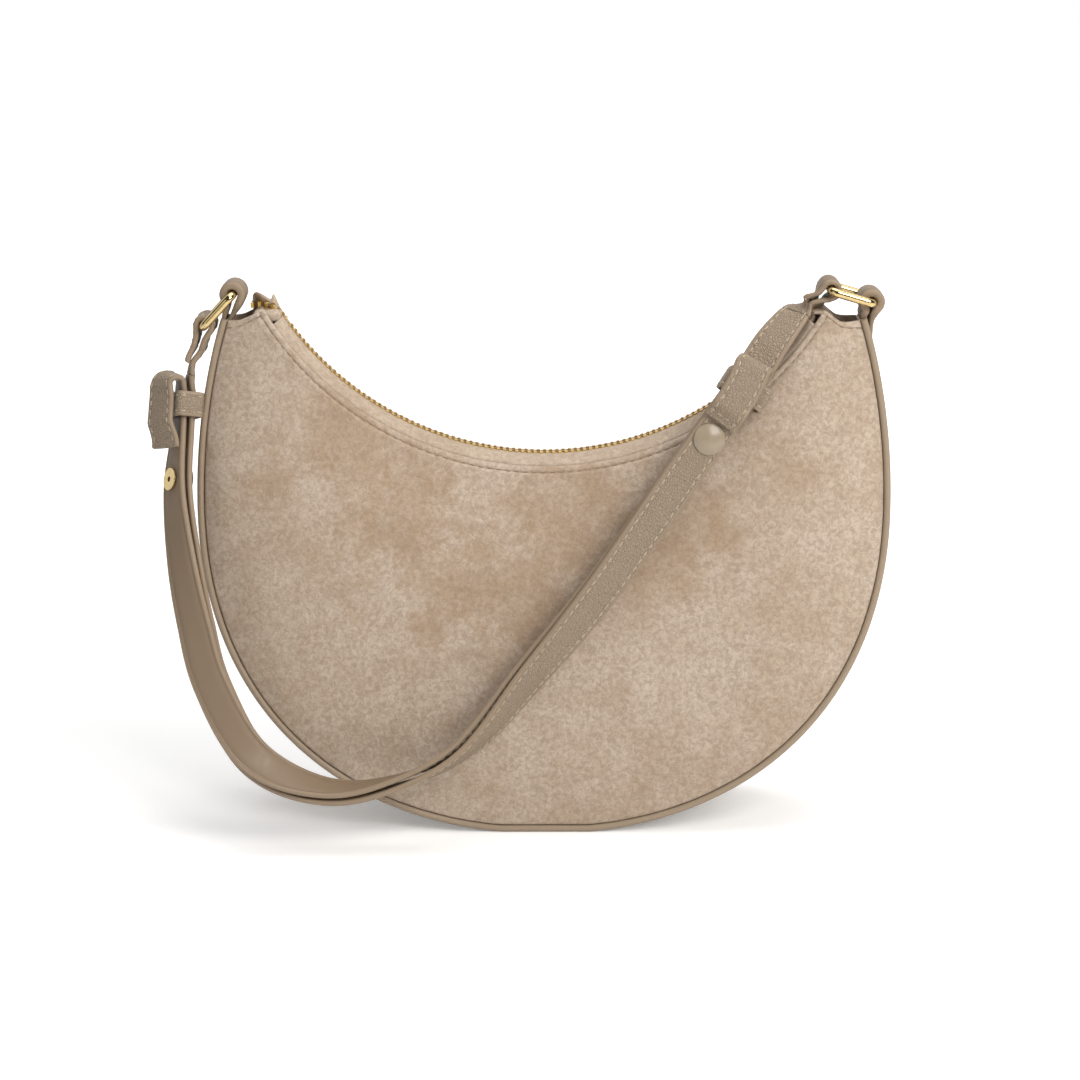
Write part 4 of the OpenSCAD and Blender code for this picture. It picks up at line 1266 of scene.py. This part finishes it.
RIGHT_LEG_K = LAST - 0.95
NECKS = {"left": neck_frames(LEG_ENDS_K[0], LEFT_NECK_K, LAYER_OFF, LEFT_BOW),
         "right": neck_frames(RIGHT_NECK_K, RIGHT_LEG_K, LAYER_OFF, twist=-RIGHT_TWIST)}
SHORT_LEGS = {"left": neck_frames(LEG_ENDS_K[0], SHORT_TIP_K, -LAYER_OFF, LEFT_BOW,
                                  closer=SHORT_LEAN),
              "right": neck_frames(RIGHT_NECK_K, RIGHT_LEG_K, -LAYER_OFF, twist=-RIGHT_TWIST)}
for side, frames in NECKS.items():
    bend_neck(ribbon(side + "_strap_neck", frames), side + "_neck")
for side, frames in SHORT_LEGS.items():
    bend_neck(ribbon(side + "_short_leg", frames), None)

# %% [markdown]
# ## Keepers
# A keeper is a short leather band round both layers. It is lofted as a closed loop, with
# rounded corners, painted edges and a row of stitches near each edge.

# %% Keepers
KEEPER_R, CORNER_STEPS, ROW_AT, ROW_SUNK = 0.6, 6, 0.62, 0.05
LEFT_KEEPER_K, RIGHT_KEEPER_K, RIGHT_ASIDE = 3.25, 17, 0.5
# The band's section: share of half its length, share of its thickness, and skin.
KEEPER_SHARES = [(-1, 0.5, 0), (-0.985, 0.85, 0), (-0.93, 1.0, 0), (-0.7, 1.03, 1),
                 (-ROW_AT, 0.9, 1), (-0.54, 1.03, 1), (0, 1.08, 1), (0.54, 1.03, 1),
                 (ROW_AT, 0.9, 1), (0.7, 1.03, 1), (0.93, 1.0, 0), (0.985, 0.85, 0), (1, 0.5, 0),
                 (0.98, 0.1, 0), (0.9, 0.0, -1), (-0.9, 0.0, -1), (-0.98, 0.1, 0)]


def keeper_path(grow):
    """Points of a rounded rectangle round both layers, in the plane across the strap."""
    half_w, half_h = STRAP_W / 2 + KEEPER_GAP + grow, PAIR_HALF + KEEPER_GAP + grow
    r, points = KEEPER_R + grow, []
    for cx, cy, start in ((1, 1, 0), (-1, 1, 90), (-1, -1, 180), (1, -1, 270)):
        for k in range(CORNER_STEPS + 1):
            a = math.radians(start + 90 * k / CORNER_STEPS)
            points.append((cx * (half_w - r) + r * math.cos(a),
                           cy * (half_h - r) + r * math.sin(a)))
        if start in (0, 180):
            points += [(cx * (half_w - r) * s, cy * half_h) for s in (0.6, 0.2, -0.2, -0.6)]
    return points


def keeper_band(side, k, aside):
    """Lofts one keeper at a station of the strap and gives the lines of its stitches."""
    p, t, n, w = strap_frame(k)
    p = p + w * aside
    half = KEEPER_L / 2
    rings = []
    for (a0, b0), (a1, b1) in zip(keeper_path(0.0), keeper_path(KEEPER_T)):
        rings.append([p + t * (half * s) + w * (a0 + (a1 - a0) * d) + n * (b0 + (b1 - b0) * d)
                      for s, d, _ in KEEPER_SHARES])
    settle(loft(side + "_keeper_band", rings, STRAP_LEATHER,
                skin=[value for _, _, value in KEEPER_SHARES], closed=True),
           side + "_keeper", side + "_keeper")
    return [[p + t * (half * s) + w * a + n * b for a, b in keeper_path(KEEPER_T - ROW_SUNK)]
            for s in (-ROW_AT, ROW_AT)]


KEEPER_ROWS = {side: keeper_band(side, k, aside)
               for side, k, aside in (("left", LEFT_KEEPER_K, 0.0),
                                      ("right", RIGHT_KEEPER_K, RIGHT_ASIDE))}

# %% [markdown]
# ## Leather tabs
# Each ring hangs in a tab: a ribbon folded over the ring's inner bar, whose two legs come
# together and go down between the panels at the horn, where they narrow.

# %% Leather tabs
TAB_R, TAB_ARC, TAB_TURN = 3.6, (-30, 195), 15
# Half width and half thickness of a tab, at its foot and where it is full.
FOOT_HALF_W, FULL_HALF_W, FOOT_HALF_T, FULL_HALF_T = 4.6, 7.0, 0.85, 1.5
# How far below the bar each grows from its foot value, and over what height.
WIDEN_FROM, WIDEN_OVER, THICKEN_FROM, THICKEN_OVER = 8.5, 5.5, 9.5, 6


def leather_tab(word, side, bar, outer, inner):
    """outer and inner are the legs' middle lines as distance from the middle and height."""
    loop = [(abs(bar.x) + TAB_R * math.cos(math.radians(a)),
             bar.z + TAB_R * math.sin(math.radians(a)))
            for a in range(TAB_ARC[0], TAB_ARC[1] + 1, TAB_TURN)]
    dense = spline(outer + loop + inner, 4)
    rings, w = [], Vector((0, 1, 0))
    for k, (x, z) in enumerate(dense):
        a, b = dense[max(k - 1, 0)], dense[min(k + 1, len(dense) - 1)]
        t = Vector((side * (b[0] - a[0]), 0, b[1] - a[1])).normalized()
        rise = z - bar.z
        wide = ease((rise + WIDEN_FROM) / WIDEN_OVER)
        thick = ease((rise + THICKEN_FROM) / THICKEN_OVER)
        rings.append(ribbon_ring(Vector((side * x, 0, z)), t.cross(w) * side, w,
                                 FOOT_HALF_W + (FULL_HALF_W - FOOT_HALF_W) * wide,
                                 FOOT_HALF_T + (FULL_HALF_T - FOOT_HALF_T) * thick))
    settle(loft(word + "_leather_tab", rings, STRAP_LEATHER, skin=SKIN_OUT), word + "_tab", "bag")


leather_tab("left", -1, LEFT_TAB,
            [(129.8, 199.4), (128.3, 205.0), (127.3, 209.0), (126.5, 212.6)],
            [(121.5, 214.0), (123.2, 211.0), (125.2, 207.6), (126.0, 204.0), (126.0, 198.0)])
leather_tab("right", 1, RIGHT_TAB,
            [(129.9, 199.4), (130.3, 207.5), (131.4, 211.2)],
            [(127.6, 212.2), (127.0, 210.0), (127.2, 207.0), (127.8, 203.0), (128.0, 197.5)])

# %% [markdown]
# ## Velvet at the ends of the zip
# At the left a soft pad lies under the chain's tail and a crumpled flap stands up behind it. At
# the right a short velvet cover lies over the last of the chain.

# %% Velvet ends


def soft_block(name, lo, hi, node):
    """A rounded cushion in a box, with fine steps and an uneven top."""
    rows, cols, power, dip = 25, 33, 0.55, -0.25
    points = []
    size = [b - a for a, b in zip(lo, hi)]
    for i in range(rows):
        for j in range(cols):
            a, b = math.pi * (i / (rows - 1) - 0.5), 2 * math.pi * j / (cols - 1)
            d = Vector((math.cos(a) * math.cos(b), math.cos(a) * math.sin(b), math.sin(a)))
            q = Vector([math.copysign(abs(c) ** power, c) for c in d])
            top = max(q.z, 0)
            wave = dip * top * math.cos(2 * math.pi * q.x)
            q = Vector((lo[k] + size[k] * (q[k] + 1) / 2 for k in range(3)))
            soft = 0.35 * noise.noise(q * 0.22)
            points.append(Vector((q.x, q.y, q.z + (wave + soft) * (0.3 + top))) * MM)
    obj = mesh_piece(name, points, grid_faces(rows, cols), TAPE_VELVET)
    bm = bmesh.new()
    bm.from_mesh(obj.data)
    bmesh.ops.remove_doubles(bm, verts=bm.verts, dist=1e-6)
    bm.to_mesh(obj.data)
    bm.free()
    settle(outward(obj), node, "bag")


soft_block("left_velvet_end", (-115.6, -8.6, 207.2), (-104.6, 8.6, 212.0), "zip_end_left")


def hump(s, middle, width):
    return math.exp(-((s - middle) / width) ** 2)


# The flap's height before its peaks, and each peak's height, place and width along it.
FLAP_TOP, FLAP_PEAKS = 214.8, ((3.2, 0.27, 0.22), (2.2, 0.8, 0.12))


def velvet_flap(name):
    """A crumpled sheet that stands behind the chain's tail and ends in two small peaks."""
    left, width, foot, low = -117.0, 11.6, 209.0, 210.5
    rings, steps, rows = [], 34, 16
    for i in range(steps + 1):
        s = i / steps
        x = left + width * s
        top = FLAP_TOP
        for high, middle, spread in FLAP_PEAKS:
            top += high * hump(s, middle, spread)
        top = low + (top - low) * math.sqrt(min(1, 0.1 + 9 * min(s, 1 - s)))
        sides = ([], [])
        for k in range(rows + 1):
            r = k / rows
            fold_y = 5.6 + 1.5 * math.sin(5 * s + 2.4 * r) - 1.6 * r * r
            crumple = 0.7 * noise.noise(Vector((x * 0.35, r * 2.2, 4.0)))
            thick = 1.25 * math.sqrt(max(1 - r ** 5, 0.0)) + 0.05
            for half, way in zip(sides, (-1, 1)):
                half.append((x + 0.9 * math.sin(3 * r + 9 * s) * r,
                             fold_y + crumple + way * thick, foot + (top - foot) * r))
        rings.append(sides[0] + sides[1][::-1])
    settle(loft(name, rings, TAPE_VELVET), None, "bag")


velvet_flap("left_velvet_flap")
# The right cover's last places as x, height, thickness and half width, and its section as
# shares of the half width and of the thickness.
COVER_END = [(106.6, 210.4, 1.3, 7.0), (108.4, 210.6, 1.4, 8.0), (110.8, 210.3, 1.3, 8.2),
             (113.0, 209.6, 1.1, 8.0), (114.3, 208.9, 0.6, 7.2)]
COVER_SHARES = [(-1, 0.0), (-0.97, 0.45), (-0.85, 0.8), (-0.5, 0.95), (0, 1.0), (0.5, 0.95),
                (0.85, 0.8), (0.97, 0.45), (1, 0.0), (0.5, -0.1), (0, -0.1), (-0.5, -0.1)]
COVER_STEPS, COVER_LIFT, COVER_PAST, COVER_A1 = 30, 0.35, 3.8, 57.0
# Over the chain, its thickness and its half width: at first, growth, first step and steps of it.
COVER_THICK, COVER_HALF_W = (0.4, 0.75, 0, 5), (3.3, 2.6, 18, 12)


def grown(k, start, growth, first, over):
    return start + growth * ease((k - first) / over)


def velvet_cover(name, a0, a1, node):
    """Runs over the chain's end, then level over the corner to the leather tab."""
    rings = []
    path = [chain_pt(a0 + (a1 - a0) * k / COVER_STEPS) for k in range(COVER_STEPS + 1)]
    tops = [(p.x, p.z, grown(k, *COVER_THICK), grown(k, *COVER_HALF_W))
            for k, p in enumerate(path)]
    tops += COVER_END
    for k, (x, z, thick, half) in enumerate(tops):
        a, b = tops[max(k - 1, 0)], tops[min(k + 1, len(tops) - 1)]
        t = Vector((b[0] - a[0], 0, b[1] - a[1])).normalized()
        n = Vector((-t.z, 0, t.x))
        n = n if n.z > 0 else -n
        base = Vector((x, 0, z)) + n * COVER_LIFT
        rings.append([base + Vector((0, 1, 0)) * (half * y) + n * (thick * h)
                      for y, h in COVER_SHARES])
    settle(loft(name, rings, TAPE_VELVET), node, "bag")


velvet_cover("right_velvet_cover", CLOSED_A + COVER_PAST, COVER_A1, "zip_end_right")

# %% [markdown]
# ## Stitches with Geometry Nodes
# A row of stitches is one short thread repeated at an even pitch along a line. One tree serves
# every row: it walks the line by the pitch, turns a stretched sphere to the line's direction and
# places it half sunk in the groove.

# %% Stitch tree


def stitch_tree():
    tree, into, out = new_tree("stitch_row", [
        ("Pitch", "NodeSocketFloat", 0.0037), ("Length", "NodeSocketFloat", 0.0026),
        ("Radius", "NodeSocketFloat", 0.0003), ("Material", "NodeSocketMaterial", None)])
    links = tree.links
    curve = tree.nodes.new("GeometryNodeMeshToCurve")
    points = tree.nodes.new("GeometryNodeCurveToPoints")
    points.mode = "LENGTH"
    ball = tree.nodes.new("GeometryNodeMeshUVSphere")
    ball.inputs["Segments"].default_value = 6
    ball.inputs["Rings"].default_value = 6
    ball.inputs["Radius"].default_value = 1.0
    soft = tree.nodes.new("GeometryNodeSetShadeSmooth")
    aim = tree.nodes.new("FunctionNodeAlignRotationToVector")
    aim.axis = "X"
    half = tree.nodes.new("ShaderNodeMath")
    half.operation = "MULTIPLY"
    half.inputs[1].default_value = 0.5
    size = tree.nodes.new("ShaderNodeCombineXYZ")
    place = tree.nodes.new("GeometryNodeInstanceOnPoints")
    links.new(into.outputs["Geometry"], curve.inputs["Mesh"])
    links.new(curve.outputs["Curve"], points.inputs["Curve"])
    links.new(into.outputs["Pitch"], points.inputs["Length"])
    links.new(points.outputs["Tangent"], aim.inputs["Vector"])
    links.new(into.outputs["Length"], half.inputs[0])
    links.new(half.outputs[0], size.inputs["X"])
    links.new(into.outputs["Radius"], size.inputs["Y"])
    links.new(into.outputs["Radius"], size.inputs["Z"])
    links.new(ball.outputs["Mesh"], soft.inputs["Geometry"])
    links.new(points.outputs["Points"], place.inputs["Points"])
    links.new(soft.outputs["Geometry"], place.inputs["Instance"])
    links.new(aim.outputs["Rotation"], place.inputs["Rotation"])
    links.new(size.outputs["Vector"], place.inputs["Scale"])
    finish_tree(tree, into, out, place.outputs["Instances"])
    return tree


STITCH = stitch_tree()
THREAD_RISE, TIP_RISE = 0.98, 0.95


def stitch_rows(name, rows, material, pitch=3.7, length=2.7, radius=0.38):
    return run_tree(path_piece(name, rows), STITCH, Pitch=pitch * MM, Length=length * MM,
                    Radius=radius * MM, Material=material)


def edge_rows(frames, side):
    """Two lines along a ribbon's frames, on its outer (1) or inner (-1) face."""
    return [[p + w * (s * STITCH_REACH) + n * (side * THREAD_RISE) for p, n, w in frames]
            for s in (-1, 1)]


# %% Stitches
ACROSS, TIP_FRAME = (-1, -0.5, 0, 0.5, 1), 5
settle(stitch_rows("strap_outer_stitches",
                   edge_rows(OUTER_FRAMES[2:-3], 1) + edge_rows(OUTER_FRAMES[OUTER_MID - 1:-3], -1),
                   THREAD), None, "strap")
settle(stitch_rows("strap_inner_stitches",
                   edge_rows(INNER_FRAMES[3:-2], -1) + edge_rows(INNER_FRAMES[3:INNER_MID + 1], 1),
                   THREAD), None, "strap")
TIP_ROWS = [[p + w * (STITCH_REACH * s) + n * (TIP_RISE * way) for s in ACROSS]
            for (p, n, w), way in ((OUTER_FRAMES[-TIP_FRAME], -1), (INNER_FRAMES[TIP_FRAME], 1))]
settle(stitch_rows("tongue_end_stitches", TIP_ROWS, THREAD, pitch=3.3), None, "strap")
for side, rows in KEEPER_ROWS.items():
    settle(stitch_rows(side + "_keeper_stitches", rows, THREAD, pitch=3.2, length=2.3), None,
           side + "_keeper")
for side, (bar, out, frames) in STRAP_ENDS.items():
    cross = [[p + w * (STITCH_REACH * s) + n * THREAD_RISE for s in ACROSS]
             for p, n, w in (frames[1], frames[-3])]
    bend(stitch_rows(side + "_loop_stitches", edge_rows(frames, 1) + cross, THREAD, pitch=3.0,
                     length=2.2), None)
for side, frames in NECKS.items():
    bend_neck(stitch_rows(side + "_neck_stitches", edge_rows(frames, 1), THREAD), None)
TOP_REACH, TOP_STEPS, HEM_FROM, HEM_RUN, HEM_STEPS = 0.985, 300, 0.16, 0.74, 24
HIGHEST_V, THREAD_LIFT = 0.3, 0.05


def panel_stitch_rows(side):
    """One row under the zip's edge and one along the hem of each horn."""
    top = [(TOP_REACH * (2 * i / TOP_STEPS - 1), None) for i in range(TOP_STEPS + 1)]
    hems = [[(end * (1 - STITCH_AT / END_SPAN), HEM_FROM + HEM_RUN * k / HEM_STEPS)
             for k in range(HEM_STEPS + 1)] for end in (-1, 1)]
    return [[panel_surface(u, min(STITCH_AT / panel_span(u), HIGHEST_V) if v is None else v,
                           side, THREAD_LIFT) for u, v in row] for row in [top] + hems]


settle(stitch_rows("panel_topstitches", panel_stitch_rows(-1) + panel_stitch_rows(1),
                   PANEL_THREAD, pitch=3.6, length=2.6, radius=0.28), None, "bag")

# %% [markdown]
# ## Metal and snaps
# Rings, slider, puller, stops and snaps keep their exact solids. They only need finishes.

# %% Finishes on solids
FINISHES = {GOLD: ["left_ring", "right_ring", "left_snap_socket", "left_snap_stud",
                   "right_snap_socket", "right_snap_stud"],
            ZIP_GOLD: ["zip_slider", "zip_puller", "zip_bottom_stop", "zip_top_stops"],
            ENAMEL: ["left_snap_cap", "right_snap_cap"]}
for finish, names in FINISHES.items():
    for node_name in names:
        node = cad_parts[node_name]
        node.data.materials.clear()
        node.data.materials.append(finish)
print("solids with finishes:", sum(len(v) for v in FINISHES.values()))

# %% [markdown]
# ## Floor and studio light
# The photograph is a plain white studio. A pale floor catches soft shadows, and a white surround
# is seen by the camera. A large soft lamp stands at the upper right, another above the bag and a
# weak one at the left. Reflections also find a dark room in front of the bag and above the floor,
# which gives the gold its contrast.

# %% Floor, background and lamps
FLOOR_HALF, FLOOR_GLOW, BACK_GLOW, GLOW_FROM, GLOW_TO = 3.0, 0.22, 0.5, 0.05, 0.9


def plain_floor():
    """Reads white to the camera and keeps faint shadows; farther back it glows a little more."""
    mat, tree, shader = new_material("studio_floor", 0.85)
    shader.inputs["Base Color"].default_value = (0.92, 0.92, 0.92, 1)
    shader.inputs["Specular IOR Level"].default_value = 0.1
    split = node_in(tree, "ShaderNodeSeparateXYZ")
    tree.links.new(object_coords(tree), split.inputs[0])
    path = tree.nodes.new("ShaderNodeLightPath")
    glow = tree.nodes.new("ShaderNodeEmission")
    farther = mask_node(tree, split.outputs["Y"], GLOW_FROM, GLOW_TO)
    back = math_node(tree, "MULTIPLY", farther, BACK_GLOW)
    strength = math_node(tree, "MULTIPLY", math_node(tree, "ADD", back, FLOOR_GLOW),
                         path.outputs["Is Camera Ray"])
    tree.links.new(strength, glow.inputs["Strength"])
    both = tree.nodes.new("ShaderNodeAddShader")
    out = tree.nodes["Material Output"]
    tree.links.new(shader.outputs[0], both.inputs[0])
    tree.links.new(glow.outputs[0], both.inputs[1])
    tree.links.new(both.outputs[0], out.inputs["Surface"])
    corners = [(x * FLOOR_HALF, y * FLOOR_HALF, 0) for x, y in ((-1, -1), (1, -1), (1, 1), (-1, 1))]
    floor = mesh_piece("studio_floor", corners, [(0, 1, 2, 3)], mat, smooth=False)


def surround():
    """White to the camera, even light on the bag, and a dark room in front for reflections."""
    world = bpy.data.worlds.new("studio") if scene.world is None else scene.world
    scene.world = world
    world.use_nodes = True
    tree = world.node_tree
    tree.nodes.clear()
    out = tree.nodes.new("ShaderNodeOutputWorld")
    fill, white, room = (tree.nodes.new("ShaderNodeBackground") for _ in range(3))
    for shade, strength in ((fill, 0.38), (white, 1.0), (room, 1.0)):
        shade.inputs["Color"].default_value = (1, 1, 1, 1)
        shade.inputs["Strength"].default_value = strength
    split = node_in(tree, "ShaderNodeSeparateXYZ")
    tree.links.new(tree.nodes.new("ShaderNodeTexCoord").outputs["Generated"], split.inputs[0])
    dark = math_node(tree, "MULTIPLY", mask_node(tree, split.outputs["Y"], 0.5, 0.2),
                     mask_node(tree, split.outputs["Z"], -0.1, 0.02))
    tree.links.new(mix_colour(tree, dark, (0.95, 0.95, 0.95, 1), (0.05, 0.045, 0.04, 1)),
                   room.inputs["Color"])
    path = tree.nodes.new("ShaderNodeLightPath")
    shown, mirrored = tree.nodes.new("ShaderNodeMixShader"), tree.nodes.new("ShaderNodeMixShader")
    tree.links.new(path.outputs["Is Glossy Ray"], mirrored.inputs["Fac"])
    tree.links.new(fill.outputs[0], mirrored.inputs[1])
    tree.links.new(room.outputs[0], mirrored.inputs[2])
    tree.links.new(path.outputs["Is Camera Ray"], shown.inputs["Fac"])
    tree.links.new(mirrored.outputs[0], shown.inputs[1])
    tree.links.new(white.outputs[0], shown.inputs[2])
    tree.links.new(shown.outputs[0], out.inputs["Surface"])


LAMP_AIM, KEY_COLOUR = Vector((0, 0, 0.1)), (1.0, 0.985, 0.96)


def lamp(name, place, size, watts, colour=(1, 1, 1)):
    data = bpy.data.lights.new(name, "AREA")
    data.shape, data.size, data.energy, data.color = "SQUARE", size, watts, colour
    obj = bpy.data.objects.new(name, data)
    obj.location = place
    obj.rotation_euler = (LAMP_AIM - Vector(place)).to_track_quat("-Z", "Y").to_euler()
    scene.collection.objects.link(obj)


plain_floor()
surround()
lamp("key", (0.8, -0.9, 1.0), 0.8, 17, KEY_COLOUR)
lamp("top", (0.1, 0.1, 1.3), 1.0, 9)
lamp("fill", (-1.0, -0.9, 0.5), 0.9, 1.5)
scene.view_settings.view_transform = "Standard"
